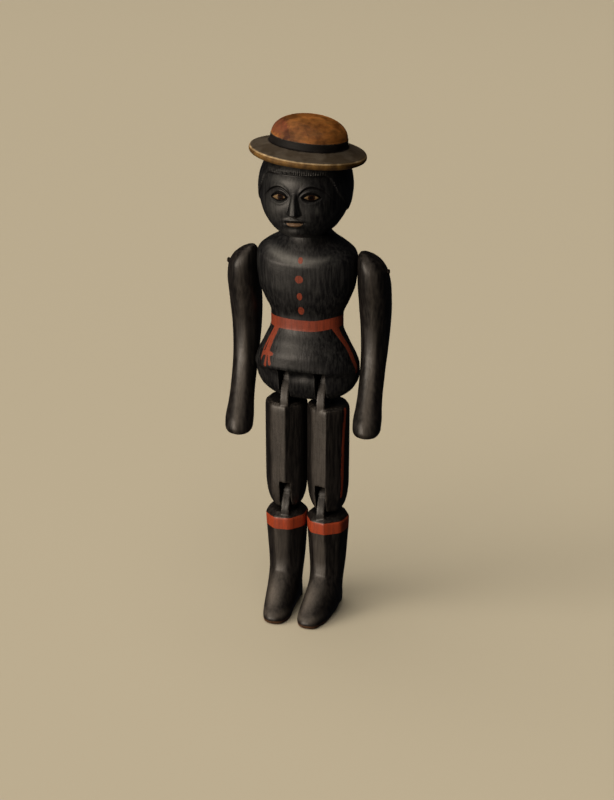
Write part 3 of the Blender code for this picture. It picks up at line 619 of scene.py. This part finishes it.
def hat_profile():
    """(radius, height) from under the rim up to the top of the dome."""
    rim = [(1, 0)] + [(BRIM - inset, up) for inset, up in (
        (6, 0), (2.2, 0), (1.5, 0.05), (0.9, 0.4), (0.35, 0.95), (0.06, 1.6), (0, 2.1),
        (0.08, 2.8), (0.3, 3.3), (0.7, 3.8), (1.1, RIM))]
    slope = [(BRIM - 1.1 - (BRIM - 1.1 - CROWN - 0.5) * t, RIM + BRIM_RISE * t ** 1.35)
             for t in np.linspace(0.1, 1, 10)]
    wall = [(CROWN + 0.1, FOOT + 0.25), (CROWN, FOOT + 0.8), (CROWN - 0.05, FOOT + 2.4),
            (CROWN - 0.2, BAND_TOP - 0.15), (CROWN - 0.35, BAND_TOP + 0.25)]
    dome = [((CROWN - 0.5) * math.cos(math.pi / 2 * t) ** 0.82,
             BAND_TOP + DOME * math.sin(math.pi / 2 * t)) for t in np.linspace(0.04, 1, 26)[:-1]]
    return rim + slope + wall + dome + [(0.4, BAND_TOP + DOME)]


profile = np.array(hat_profile())
turns = around(HAT_COLUMNS)
wobble = 1 + 0.004 * np.sin(2 * turns + 0.6) + 0.003 * np.sin(5 * turns)
radius = profile[:, 0, None] * np.minimum(wobble, 1.0)
height = profile[:, 1, None] + 0 * turns
local = np.stack([radius * np.cos(turns), radius * np.sin(turns), height], axis=-1)
hat = lofted("doll_hat", local @ np.array(HAT_TURN).T + np.array([0, 0, HAT_SEAT]))
store_wear(hat)
print("hat", round(2 * BRIM, 1), "mm across and", round(BAND_TOP + DOME, 1), "mm high")

# %% [markdown]
# Band and rim were painted as the hat turned, so each is set by radius and height alone.

# %% Paint marks of the hat
RIM_PAINT = 3.3  # height up to which the rim is ochre
flat = local.reshape(-1, 3)
reach, up = np.hypot(flat[:, 0], flat[:, 1]), flat[:, 2]
on_crown = CROWN + 0.9 - reach
store(hat, "band", np.minimum(BAND_TOP - up, on_crown))
store(hat, "crown", np.minimum(up - BAND_TOP, on_crown))
on_rim = np.minimum(RIM_PAINT - up, reach - (BRIM - 3.2))
store(hat, "rim", np.where(up < RIM + 0.01, on_rim, -1.0))
store(hat, "redder", np.minimum(-flat[:, 0] - 0.5 * flat[:, 1] - 15.0, up - BAND_TOP))
# A thin pale line along the top edge of the rim is a painted highlight.
store(hat, "rim_highlight", 0.45 - np.hypot(reach - (BRIM - 0.45), up - 3.45))
print("ochre up to", RIM_PAINT, "mm")

# %% [markdown]
# ## The arms
# Each arm is one whittled stick, its elbow bent back and its hand a plain mitt, with a flat
# sawn inner face where it swings against the body.

# %% Sections of the arm
ARM = (
    (0, -11.6, 0, 0.46, 0.46), (0.012, -11.6, 0, 0.73, 0.70),
    (0.041, -11.2, 0, 0.88, 0.86), (0.085, -9.8, 0, 0.90, 0.88),
    (0.156, -6.4, 0, 0.82, 0.81), (0.227, -3, 0, 0.78, 0.79),
    (0.334, 1.8, 0, 0.79, 0.84), (0.449, 5.4, 0, 0.85, 0.92),
    (0.565, 6.6, 0, 0.93, 1.01), (0.689, 5.4, 0, 1.01, 1.08),
    (0.805, 2.8, 0, 1.03, 1.10), (0.893, 0.8, 0.4, 0.95, 1.02),
    (0.947, 0, 1.8, 0.79, 0.84), (0.982, -0.2, 3.8, 0.54, 0.58),
    (1, -0.2, 5.2, 0.25, 0.28),
)
ARM_FACE = through(TORSO, YOKE - CROTCH)[0] + ARM_GAP
ARM_COLUMNS = 72


def arm_grid(label, side):
    share = np.unique(np.concatenate([
        np.linspace(0, 0.05, 12), np.linspace(0.05, 0.87, 100), np.linspace(0.87, 1, 30)]))
    back, inwards, thickness, depth = through(ARM, share).T[..., None]
    across, along = squared(around(ARM_COLUMNS), 2.1)
    facet = 0.99 + 0.01 * np.cos(7 * around(ARM_COLUMNS) + 9 * share[:, None])
    x = side * (ARM_FACE + ARM_THICKNESS / 2 - inwards)
    foot = SHOULDER_PIN[label] + ARM_RISE - ARM_LENGTH[label]
    return np.stack([
        x + thickness * ARM_THICKNESS / 2 * across * facet,
        back + depth * ARM_THICKNESS / 2 * along * facet,
        foot + share[:, None] * ARM_LENGTH[label] + 0 * across], axis=-1)


arms = {}
for label, side in SIDES:
    arm = arms[label] = lofted(f"doll_{label}_arm", arm_grid(label, side))
    sawn(arm, (side * ARM_FACE * MM, 0, 0), (-side, 0, 0))
    store_wear(arm)
    below_elbow = ramp(-points_of(arm)[:, 2], -185, -160)
    # The arms' fronts are lightened where their highlight falls: wear and painted highlight.
    store(arm, "rubbed_and_highlit", front_wear_and_highlight(arm, 4, 17, 0.22 + 0.2 * below_elbow))
print("arms hang from nails at", SHOULDER_PIN)

# %% [markdown]
# ## The legs
# A thigh is an eight-sided stick with a tongue at its top and a fork at its foot. A boot is
# rounder, with a shaft, an instep and a heel, and the tongue of the knee.
# Tongues narrow to a round end about their pins.

# %% Eight flats with eased corners
def octagon(per_side, twist, crisp):
    """Unit points of an octagon. One front corner is crisp and the rest are rubbed round."""
    points = []
    for k in range(8 * per_side):
        turn = math.pi / 8 + math.tau * k / (8 * per_side)
        off = (turn + math.pi / 8) % (math.pi / 4) - math.pi / 8
        limit = crisp if abs(turn - math.tau * 13 / 16) < 0.3 else 1.03
        reach = 1 / math.cos(off)
        reach = min(reach, limit + 0.3 * (reach - limit)) if reach > limit else reach
        points.append((reach * math.cos(turn - twist), reach * math.sin(turn - twist)))
    return np.array(points)


def add_tongue(piece, side, root_height, root_half, pin_height):
    """Joins on a tongue that narrows from its root to a round end about its pin."""
    sides = []
    for share in np.linspace(0, 1, 10)[:-1]:
        half = TONGUE_REACH + (root_half - TONGUE_REACH) * math.cos(math.pi / 2 * share)
        sides.append((half, root_height + (pin_height - root_height) * share))
    sides = [(root_half, root_height - 8)] + sides
    ends = [(TONGUE_REACH * math.cos(t), pin_height + TONGUE_REACH * math.sin(t))
            for t in np.linspace(0, math.pi, 21)]
    outline = sides + ends + [(-y, z) for y, z in reversed(sides)]
    cut(piece, [plate("tongue", outline, side * TONGUE_X, TONGUE_THICKNESS)], "UNION")

# %% Build the thighs
THIGH = (
    (0, 0.60), (0.015, 0.70), (0.06, 0.82), (0.14, 0.93), (0.26, 0.99),
    (0.65, 1), (0.92, 1), (0.975, 0.98), (1, 0.84),
)
THIGH_TWIST = {"right": math.radians(10.5), "left": math.radians(14)}
LEG_VOXEL = 0.5


def thigh_blank(label, side):
    share = np.unique(np.concatenate([np.linspace(0, 0.27, 24), np.linspace(0.27, 1, 40)]))
    half = through(THIGH, share)[:, 0] * THIGH_WIDTH / 2
    section = octagon(6, THIGH_TWIST[label], 1.075)
    x = side * LEG_X + half[:, None] * section[:, 0]
    y = half[:, None] * section[:, 1]
    z = THIGH_FOOT + share[:, None] * (THIGH_TOP - THIGH_FOOT) + 0 * y
    return lofted(f"doll_{label}_thigh", np.stack([x, y, z], axis=-1))


thighs = {}
for label, side in SIDES:
    thigh = thigh_blank(label, side)
    add_tongue(thigh, side, THIGH_TOP, 0.96 * THIGH_WIDTH / 2, HIP_PIN)
    cut(thigh, [slot_cutter(side, 0, KNEE_PIN)])
    thighs[label] = softened(thigh, LEG_VOXEL, 2)
    store_wear(thigh, passes=6)
    # The thighs' front faces turned to the light are lightened: wear and painted highlight.
    store(thigh, "rubbed_and_highlit", front_wear_and_highlight(thigh, -9, 22, 0.3))
    print(label, "thigh has", len(thigh.data.vertices), "points")

# %% [markdown]
# The mesh itself says how far out the wood is, so the stripe's stroke lies on it.

# %% A red stripe down the outside of each thigh
STRIPE = ((-4.6, 131.8), (-6.4, 122.3), (-7.2, 109), (-7.4, 94), (-7.3, 76.5))
STRIPE_SET_BACK = {"right": 7.0, "left": 0.0}


def on_outside(places, side, y, z):
    """The outermost point of a leg near that depth and height."""
    near = places[np.hypot(places[:, 1] - y, places[:, 2] - z) < 1.2]
    return near[np.argmax(side * near[:, 0])]


for label, side in SIDES:
    places = points_of(thighs[label])
    route = [on_outside(places, side, y + STRIPE_SET_BACK[label], z) for y, z in STRIPE]
    store(thighs[label], "red_paint", inside_stroke(places, route, (1.3, 1.3, 1.3, 1.3, 0.8)))
    print(label, "stripe starts at x =", round(float(route[0][0]), 1))

# %% [markdown]
# Leg and boot are one piece of wood. The shaft is faceted like the thigh and the foot is
# round, so each height mixes an octagon with a squared oval.

# %% Build the boots
BOOT = (
    (0, 0.74, -30.4, 11.6, 8.2, 1), (0.8, 0.78, -31.6, 12.2, 8.8, 1),
    (3, 0.81, -32, 12.6, 9.1, 1), (6, 0.81, -30.8, 12.4, 9.1, 1),
    (8.4, 0.80, -28.8, 11.9, 9, 1), (10.6, 0.80, -26, 11.3, 9.2, 1),
    (13.6, 0.80, -22.4, 10.8, 9.4, 1), (17.5, 0.80, -18.4, 10.5, 9.6, 0.9),
    (22, 0.81, -14.6, 10.7, 9.9, 0.7), (26, 0.83, -12, 10.9, 10.2, 0.5),
    (34, 0.88, -10.8, 11.4, 10.8, 0.3),
    (46, 0.94, -11.2, 11.8, 11.4, 0.1), (60, 1, -11.8, 12.2, 12, 0),
    (61.2, 0.96, -11.4, 11.8, 11.6, 0), (63.6, 0.74, -9.2, 9.6, 9, 0),
)
BOOT_TWIST = {"right": 0.0, "left": math.radians(14)}
BOOT_CORNER = {"right": 1.035, "left": 1.078}  # how crisp its front corner is
TOE_IN, TOE_ASIDE = 2.0, -2.0
HEEL_BACK, HEEL_HEIGHT, HEEL_LENGTH, ARCH_LENGTH = 12.6, 3.0, 7.0, 9.0
WAIST = ((-30, 0), (-22, 0.4), (-13, 2.4), (-5, 3), (2, 2.5), (7, 0.6), (10, 0), (14, 0))
WAIST_HEIGHT = 8.0
SOLE_SQUARENESS, INSTEP_SQUARENESS, INSTEP_HEIGHT = 2.9, 2.2, 14.0


def boot_blank(label, side):
    z = np.unique(np.concatenate([
        np.linspace(0, 2, 8), np.linspace(2, 20, 46), np.linspace(20, 63.6, 60)]))
    share, toe, heel, toe_half, roundness = through(BOOT, z).T[..., None]
    flats = octagon(12, BOOT_TWIST[label], BOOT_CORNER[label])
    turn = math.tau * 5 / 16 + around(len(flats))
    rising = np.clip(z / INSTEP_HEIGHT, 0, 1)[:, None]
    square = SOLE_SQUARENESS + (INSTEP_SQUARENESS - SOLE_SQUARENESS) * rising
    across, along = (roundness * round_part + (1 - roundness) * flat_part
                     for round_part, flat_part in zip(squared(turn, square), flats.T))
    y = (toe + heel) / 2 + (heel - toe) / 2 * along
    forward = np.clip((-y - 8) / 18, 0, 1)
    half = share * BOOT_WIDTH / 2
    half = half + (toe_half - half) * forward
    half = half - through(WAIST, y)[..., 0] * np.maximum(0, 1 - z / WAIST_HEIGHT)[:, None]
    x = side * LEG_X + half * across + (TOE_ASIDE - side * TOE_IN) * forward
    return lofted(f"doll_{label}_boot", np.stack([x, y, z[:, None] + 0 * y], axis=-1))


heel_front = HEEL_BACK - HEEL_LENGTH
arch_front = heel_front - ARCH_LENGTH
arch_outline = ((heel_front, -60), (heel_front, HEEL_HEIGHT), (arch_front, 0), (arch_front, -60))
boots = {}
for label, side in SIDES:
    boot = boot_blank(label, side)
    add_tongue(boot, side, BOOT_TOP, 0.89 * BOOT_WIDTH / 2, KNEE_PIN)
    cut(boot, [plate("arch", arch_outline, side * LEG_X, 30)])
    boots[label] = softened(boot, LEG_VOXEL, 2)
    print(label, "boot has", len(boot.data.vertices), "points")

# %% [markdown]
# A faint crease marks each ankle. Each shaft has a painted band, and each sole a bare edge.

# %% Crease the ankles, and mark the boots' bands and soles
CREASE = {"right": 28.0, "left": 25.5}
BAND_LOW, BAND_HIGH, SOLE_EDGE = 53.2, 60.7, 2.4
for label, side in SIDES:
    boot = boots[label]
    x, y, z = points_of(boot).T
    push_out(boot, -0.07 * bell(z - CREASE[label], 2.4) * ramp(-y, 5, 10))
    places = points_of(boot)
    places[:, 2] = np.maximum(places[:, 2], 0)
    set_points(boot, places)
    x, y, z = places.T
    store_wear(boot, exposed=np.where(z > 60, 0.2, 1.0), passes=6)
    # The shaft's front, the instep and the toe cap are lightened where their highlights fall:
    # partly wear, partly painted highlight.
    shaft = front_wear_and_highlight(boot, -9, 18, np.where(z > 61, 0.1, 0.3) * ramp(z, 16, 24))
    instep = front_wear_and_highlight(boot, -22, 34, 0.7 * bell(z - 14.5, 7.0))
    toe_cap = 0.4 * bell(z - 6.0, 2.0) * ramp(-y, 18, 28)
    store(boot, "rubbed_and_highlit", np.maximum.reduce([shaft, instep, toe_cap]))
    tip = 0.05 * (x - side * LEG_X)
    store(boot, "red_paint", np.minimum(z - tip - BAND_LOW, BAND_HIGH + tip - z))
    store(boot, "sole", np.minimum(SOLE_EDGE - z, -y - 12))
print("bands are", round(BAND_HIGH - BAND_LOW, 1), "mm wide")

# %% [markdown]
# ## Finishes
# Colours are picked as they look on screen, and one function turns them to linear light.
# Another adds a node with its settings and its links.

# %% Colour and node helpers
def colour(code):
    """An sRGB hex colour as linear RGBA."""
    parts = [int(code[k:k + 2], 16) / 255 for k in (1, 3, 5)]
    linear = [p / 12.92 if p <= 0.04045 else ((p + 0.055) / 1.055) ** 2.4 for p in parts]
    return (*linear, 1.0)


def new_finish(name):
    """A new material, its node tree and its shader."""
    material = bpy.data.materials.new(name)
    material.use_nodes = True
    return material, material.node_tree, material.node_tree.nodes["Principled BSDF"]


def add(tree, kind, inputs=None, **settings):
    """Adds a node: settings are its own values, inputs are values, sockets to link, or
    nodes whose first output is linked."""
    node = tree.nodes.new("ShaderNode" + kind)
    for name, value in settings.items():
        setattr(node, name, value)
    for name, value in (inputs or {}).items():
        if isinstance(value, bpy.types.Node):
            value = value.outputs[0]
        if isinstance(value, bpy.types.NodeSocket):
            tree.links.new(value, node.inputs[name])
        else:
            node.inputs[name].default_value = value
    return node

# %% [markdown]
# Oil paint brushed over whittled softwood: a satin skin with an IOR near 1.5, which keeps
# the streaks of the brush along the grain. It is painted blackest in the hollows as painted
# shade, and is rubbed to a dusty grey brown on ridges and on the painted highlights. Real
# streaks are about 0.3 mm apart, and are drawn at twice that so that they show.

# %% Black paint, brushed along the grain
STREAK_MM, PATCH_MM, SPECK_MM = 0.6, 13.0, 1.6


def start_paint(name, shades, dust_and_highlight, along):
    """A material with its streaks and patches, and the node of its ground coat."""
    material, tree, _ = new_finish(name)
    place = add(tree, "TexCoord").outputs["Object"]
    brush = add(tree, "Mapping", {"Vector": place, "Scale": along})
    streaks = add(tree, "TexNoise", {
        "Vector": brush, "Scale": 1 / (2 * STREAK_MM * MM), "Detail": 3.0, "Roughness": 0.6},
        name="streaks")
    patches = add(tree, "TexNoise", {
        "Vector": place, "Scale": 1 / (PATCH_MM * MM), "Detail": 4.0, "Roughness": 0.62},
        name="patches")
    add(tree, "TexNoise", {
        "Vector": place, "Scale": 1 / (SPECK_MM * MM), "Detail": 2.0}, name="specks")
    spread = add(tree, "MapRange", {"Value": patches, "From Min": 0.36, "From Max": 0.64})
    ground = add(tree, "MixRGB", {
        "Fac": spread, "Color1": colour(shades[0]), "Color2": colour(shades[1])})
    faint = add(tree, "MapRange", {
        "Value": streaks, "From Min": 0.4, "From Max": 0.75, "To Max": 0.16})
    brushed = add(tree, "MixRGB", {"Fac": faint, "Color1": ground, "Color2": colour(dust_and_highlight)})
    return material, brushed

# %% Painted shade in the hollows, dust on the ridges
# A near-black colour laid in the hollows as painted shade.
HOLLOW_SHADE = "#050404"


def aged(material, base, dust_and_highlight):
    """The base colour with painted shade in the hollows, rubbed ridges, and places rubbed by
    hand that also carry painted highlights.
    """
    tree = material.node_tree
    streaks = tree.nodes["streaks"]
    wear_and_shade = add(tree, "Attribute", attribute_name="wear_and_shade").outputs["Fac"]
    hollow_shade = add(tree, "MapRange", {
        "Value": wear_and_shade, "From Min": -0.02, "From Max": -0.22, "To Max": 0.85})
    base = add(tree, "MixRGB", {"Fac": hollow_shade, "Color1": base, "Color2": colour(HOLLOW_SHADE)})
    ridge = add(tree, "MapRange", {
        "Value": wear_and_shade, "From Min": 0.06, "From Max": 0.4, "To Max": 0.6})
    grain = add(tree, "MapRange", {"Value": streaks, "From Min": 0.3, "From Max": 0.62})
    ridge = add(tree, "Math", {0: ridge, 1: grain}, operation="MULTIPLY")
    # Places rubbed by hand, which are also painted highlights, mix towards the dust colour.
    hand_rubbed_and_lit = add(tree, "Attribute", attribute_name="rubbed_and_highlit").outputs["Fac"]
    streaky = add(tree, "MapRange", {
        "Value": streaks, "From Min": 0.3, "From Max": 0.7, "To Min": 0.75, "To Max": 1.15})
    hand_rubbed_and_lit = add(tree, "Math", {0: hand_rubbed_and_lit, 1: streaky}, operation="MULTIPLY")
    rubbed_and_highlit = add(tree, "Math", {0: ridge, 1: hand_rubbed_and_lit}, operation="MAXIMUM")
    return add(tree, "MixRGB", {"Fac": rubbed_and_highlit, "Color1": base, "Color2": colour(dust_and_highlight)})

# %% A detail painted on top, and the gloss of the finished coat
def painted_on(material, base, attribute, fresh, thin, ragged):
    """Paint wherever the attribute is above nought, its edge ragged by so many mm."""
    tree = material.node_tree
    inside = add(tree, "Attribute", attribute_name=attribute).outputs["Fac"]
    wander = add(tree, "MapRange", {
        "Value": tree.nodes["specks"], "To Min": -ragged, "To Max": ragged})
    inside = add(tree, "Math", {0: inside, 1: wander}, operation="ADD")
    cover = add(tree, "MapRange", {
        "Value": inside, "From Min": -0.08, "From Max": 0.12 + 0.4 * ragged})
    thinned = add(tree, "MapRange", {
        "Value": tree.nodes["streaks"], "From Min": 0.4, "From Max": 0.68, "To Max": 0.7})
    coat = add(tree, "MixRGB", {"Fac": thinned, "Color1": colour(fresh), "Color2": colour(thin)})
    return add(tree, "MixRGB", {"Fac": cover, "Color1": base, "Color2": coat})


BRUSH_DEPTH, PAINT_IOR = 0.2, 1.5


def finish_paint(material, base, roughness, knife_depth):
    """Joins colour, gloss, brush relief and knife marks so many mm deep to the shader."""
    tree = material.node_tree
    shader, streaks = tree.nodes["Principled BSDF"], tree.nodes["streaks"]
    gloss = add(tree, "MapRange", {
        "Value": streaks, "To Min": roughness - 0.1, "To Max": roughness + 0.14})
    brush = add(tree, "Bump", {
        "Height": streaks, "Strength": 0.5, "Distance": BRUSH_DEPTH * MM})
    knife = add(tree, "Bump", {
        "Height": tree.nodes["patches"], "Strength": 0.5, "Distance": knife_depth * MM,
        "Normal": brush})
    for node, socket in ((base, "Base Color"), (gloss, "Roughness"), (knife, "Normal")):
        tree.links.new(node.outputs[0], shader.inputs[socket])
    shader.inputs["IOR"].default_value = PAINT_IOR
    return material

# %% Mix the paints
COOL_BLACK, WARM_BLACK = ("#050506", "#0f0e10"), ("#070505", "#120f0e")
# The dust colours lighten worn ridges, and also the painted highlights.
DUST_AND_HIGHLIGHT, WARM_DUST_AND_HIGHLIGHT = "#666561", "#645c53"
RED, DULL_RED = "#863b26", "#622b1b"
GRAIN_UP = (1, 1, 0.09)  # how the noise is stretched along the grain
SATIN, KNIFE_DEPTH = 0.42, 0.6  # roughness, and mm from hollow to ridge


def black_paint(name, shades, dust_and_highlight, marks):
    material, base = start_paint(name, shades, dust_and_highlight, GRAIN_UP)
    base = aged(material, base, dust_and_highlight)
    for mark in marks:
        base = painted_on(material, base, *mark)
    return finish_paint(material, base, SATIN, KNIFE_DEPTH)


# The drawn mark holds the lashes and the painted shade of the face's carved hollows.
face_marks = [("eye_white", "#7b6546", "#614b33", 0.1), ("iris", "#221108", "#180b05", 0.1),
              ("pupil", "#060303", "#060303", 0.05), ("lip", "#6b533c", "#4b392a", 0.15),
              ("drawn_and_shaded", "#060404", "#0a0808", 0.1)]
red_marks = [("red_paint", RED, DULL_RED, 0.22)]
body_paint = black_paint("black_paint_trimmed", COOL_BLACK, DUST_AND_HIGHLIGHT, red_marks + face_marks)
# The eyes are painted in a dull colour, which hardly mirrors at all.
body_tree = body_paint.node_tree
eyes = add(body_tree, "Attribute", attribute_name="eye_white").outputs["Fac"]
shine = add(body_tree, "MapRange", {
    "Value": eyes, "From Min": 0.1, "From Max": -0.3, "To Min": 0.1, "To Max": 0.38})
body_tree.links.new(
    shine.outputs["Result"], body_tree.nodes["Principled BSDF"].inputs["Specular IOR Level"])
arm_paint = black_paint("black_paint_plain", WARM_BLACK, WARM_DUST_AND_HIGHLIGHT, [])
# The thigh stripe lies on the shaded side, so its red is painted lighter than the same red
# elsewhere: painted light.
thigh_paint = black_paint("black_paint_striped", WARM_BLACK, WARM_DUST_AND_HIGHLIGHT,
                          [("red_paint", "#bb4e2f", "#7a311d", 0.4)])
boot_paint = black_paint("black_paint_banded", WARM_BLACK, WARM_DUST_AND_HIGHLIGHT,
                         [("red_paint", "#a04022", "#7c341f", 0.22),
                          ("sole", "#5c402b", "#38261a", 0.35)])
print(len(bpy.data.materials), "black paints")

# %% [markdown]
# The hat is painted in browns over the same wood. Its brush went round with the lathe, so
# the streaks lie level. The crown is a patchy terracotta rubbed to ochre, the band black.

# %% Paint the hat
GRAIN_ROUND, HAT_DUST = (0.2, 0.2, 1), "#6f6450"
MATT, TURNED_DEPTH = 0.7, 0.2
hat_paint, hat_base = start_paint("brown_paint", ("#3b342b", "#5b5145"), HAT_DUST, GRAIN_ROUND)
hat_base = aged(hat_paint, hat_base, HAT_DUST)
hat_tree = hat_paint.node_tree
patchy = add(hat_tree, "MapRange", {
    "Value": hat_tree.nodes["patches"], "From Min": 0.42, "From Max": 0.6})
# The pale rim line is a painted highlight on the rim's top edge.
for mark in (
        ("crown", "#935a26", "#714b21", 0.2), ("redder", "#733a1f", "#68401e", 4.0),
        ("band", "#0d0a0a", "#1f1916", 0.35), ("rim", "#84602a", "#6e4f24", 0.15),
        ("rim_highlight", "#bfa57c", "#a58658", 0.05)):
    hat_base = painted_on(hat_paint, hat_base, *mark)
stained = add(hat_tree, "MixRGB", {
    "Fac": patchy, "Color1": hat_base, "Color2": colour("#a09a90")}, blend_type="MULTIPLY")
finish_paint(hat_paint, stained, MATT, TURNED_DEPTH)
print("hat painted with", len(hat_tree.nodes), "nodes")

# %% [markdown]
# The nails are plain wrought iron gone dark, and the pins of the legs are bare dark wood.

# %% Iron and pin wood
def plain_finish(name, dark, light, metallic, roughness, patch_mm):
    material, tree, shader = new_finish(name)
    place = add(tree, "TexCoord").outputs["Object"]
    spots = add(tree, "TexNoise", {"Vector": place, "Scale": 1 / (patch_mm * MM), "Detail": 4.0})
    blend = add(tree, "MixRGB", {"Fac": spots, "Color1": colour(dark), "Color2": colour(light)})
    bump = add(tree, "Bump", {"Height": spots, "Strength": 0.4, "Distance": 0.2 * MM})
    tree.links.new(blend.outputs["Color"], shader.inputs["Base Color"])
    tree.links.new(bump.outputs["Normal"], shader.inputs["Normal"])
    shader.inputs["Metallic"].default_value = metallic
    shader.inputs["Roughness"].default_value = roughness
    return material


iron = plain_finish("dark_iron", "#1c1917", "#3d332b", 0.85, 0.5, 1.2)
pin_wood = plain_finish("pin_wood", "#2a1d14", "#4a3524", 0.0, 0.6, 2.0)
print(len(bpy.data.materials), "finishes in all")

# %% [markdown]
# ## Put it together
# Every piece takes its finish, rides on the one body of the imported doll, and stands for
# the solid of the same name. Nails and leg pins are simple enough to stay as they are.

# %% Dress, ride and replace
def coat(piece, material):
    piece.data.materials.clear()
    piece.data.materials.append(material)


def dressed(piece, material, node, edge=40):
    """Gives a piece its finish and its place. Edges past some degrees are shaded sharp."""
    coat(piece, material)
    piece.data.shade_smooth()
    piece.data.set_sharp_from_angle(angle=math.radians(edge))
    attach(piece, "root")
    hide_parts(node)


dressed(body, body_paint, "body", 50)
dressed(hat, hat_paint, "hat", 50)
for label, side in SIDES:
    dressed(arms[label], arm_paint, f"{label}_arm")
    dressed(thighs[label], thigh_paint, f"{label}_thigh")
    dressed(boots[label], boot_paint, f"{label}_boot")
for node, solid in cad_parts.items():
    if node.endswith("_pin"):
        coat(solid, iron if "shoulder" in node else pin_wood)

# %% [markdown]
# ## Floor and light
# A plain pale table and three soft lights: a very broad one from above, a weaker one from
# the upper left, and a low strip in front on the left. An upright surface seen from above
# mirrors what lies low in front of it, so only a low light gives satin paint its long
# highlights. The others are left out of reflections, and the table throws no light back, so
# the sides that are turned away stay as black as painted.

# %% Floor, backdrop and lights
FLOOR_FRONT, WALL_START, WALL_CURVE, WALL_TOP, FLOOR_HALF = -0.42, 2.6, 0.8, 4.0, 4.0


def backdrop():
    """A floor that curves up into a wall behind the doll, in metres."""
    shape = bmesh.new()
    curve = [(WALL_START + WALL_CURVE * math.sin(t), WALL_CURVE * (1 - math.cos(t)))
             for t in np.linspace(0.1, math.pi / 2, 12)]
    curve = [(FLOOR_FRONT, 0), (WALL_START, 0), *curve, (WALL_START + WALL_CURVE, WALL_TOP)]
    rows = [[shape.verts.new((x, y, z)) for y, z in curve] for x in (-FLOOR_HALF, FLOOR_HALF)]
    for k in range(len(curve) - 1):
        shape.faces.new((rows[0][k], rows[1][k], rows[1][k + 1], rows[0][k + 1]))
    return shaped("backdrop", shape)


floor = backdrop()
floor.data.shade_smooth()
plain, _, plain_shader = new_finish("plain_floor")
plain_shader.inputs["Base Color"].default_value = colour("#bab19b")
plain_shader.inputs["Roughness"].default_value = 0.9
floor.data.materials.append(plain)
floor.visible_diffuse = False
floor.visible_glossy = False


def lit(name, kind, energy, tint, toward):
    """A lamp of that kind that shines along a direction."""
    lamp = linked(name, bpy.data.lights.new(name, kind))
    lamp.rotation_euler = Vector(toward).to_track_quat("-Z", "Y").to_euler()
    lamp.data.energy = energy
    lamp.data.color = colour(tint)[:3]
    return lamp


for name, energy, toward, spread in (
        ("above", 2.7, (0.3, 0.25, -1), 80), ("key", 1.0, (0.709, 0.41, -0.574), 28)):
    broad = lit(name, "SUN", energy, "#fff6ea", toward)
    broad.data.angle = math.radians(spread)
    broad.visible_glossy = False

STRIP_AZIMUTH, STRIP_DISTANCE = math.radians(-30), 3.0
STRIP_WIDTH, STRIP_HEIGHT = 1.2, 0.4
strip_x = STRIP_DISTANCE * math.sin(STRIP_AZIMUTH)
strip_y = -STRIP_DISTANCE * math.cos(STRIP_AZIMUTH)
strip = lit("strip", "AREA", 50, "#ffefdc", (-strip_x, -strip_y, 0))
strip.location = (strip_x, strip_y, STRIP_HEIGHT / 2)
strip.data.shape = "RECTANGLE"
strip.data.size, strip.data.size_y = STRIP_WIDTH, STRIP_HEIGHT
print(len(bpy.data.lights), "lights")

world = bpy.data.worlds.new("studio")
world.use_nodes = True
sky = world.node_tree.nodes["Background"]
sky.inputs["Color"].default_value = colour("#d8dce6")
sky.inputs["Strength"].default_value = 0.015
bpy.context.scene.world = world
bpy.context.scene.view_settings.view_transform = "Standard"
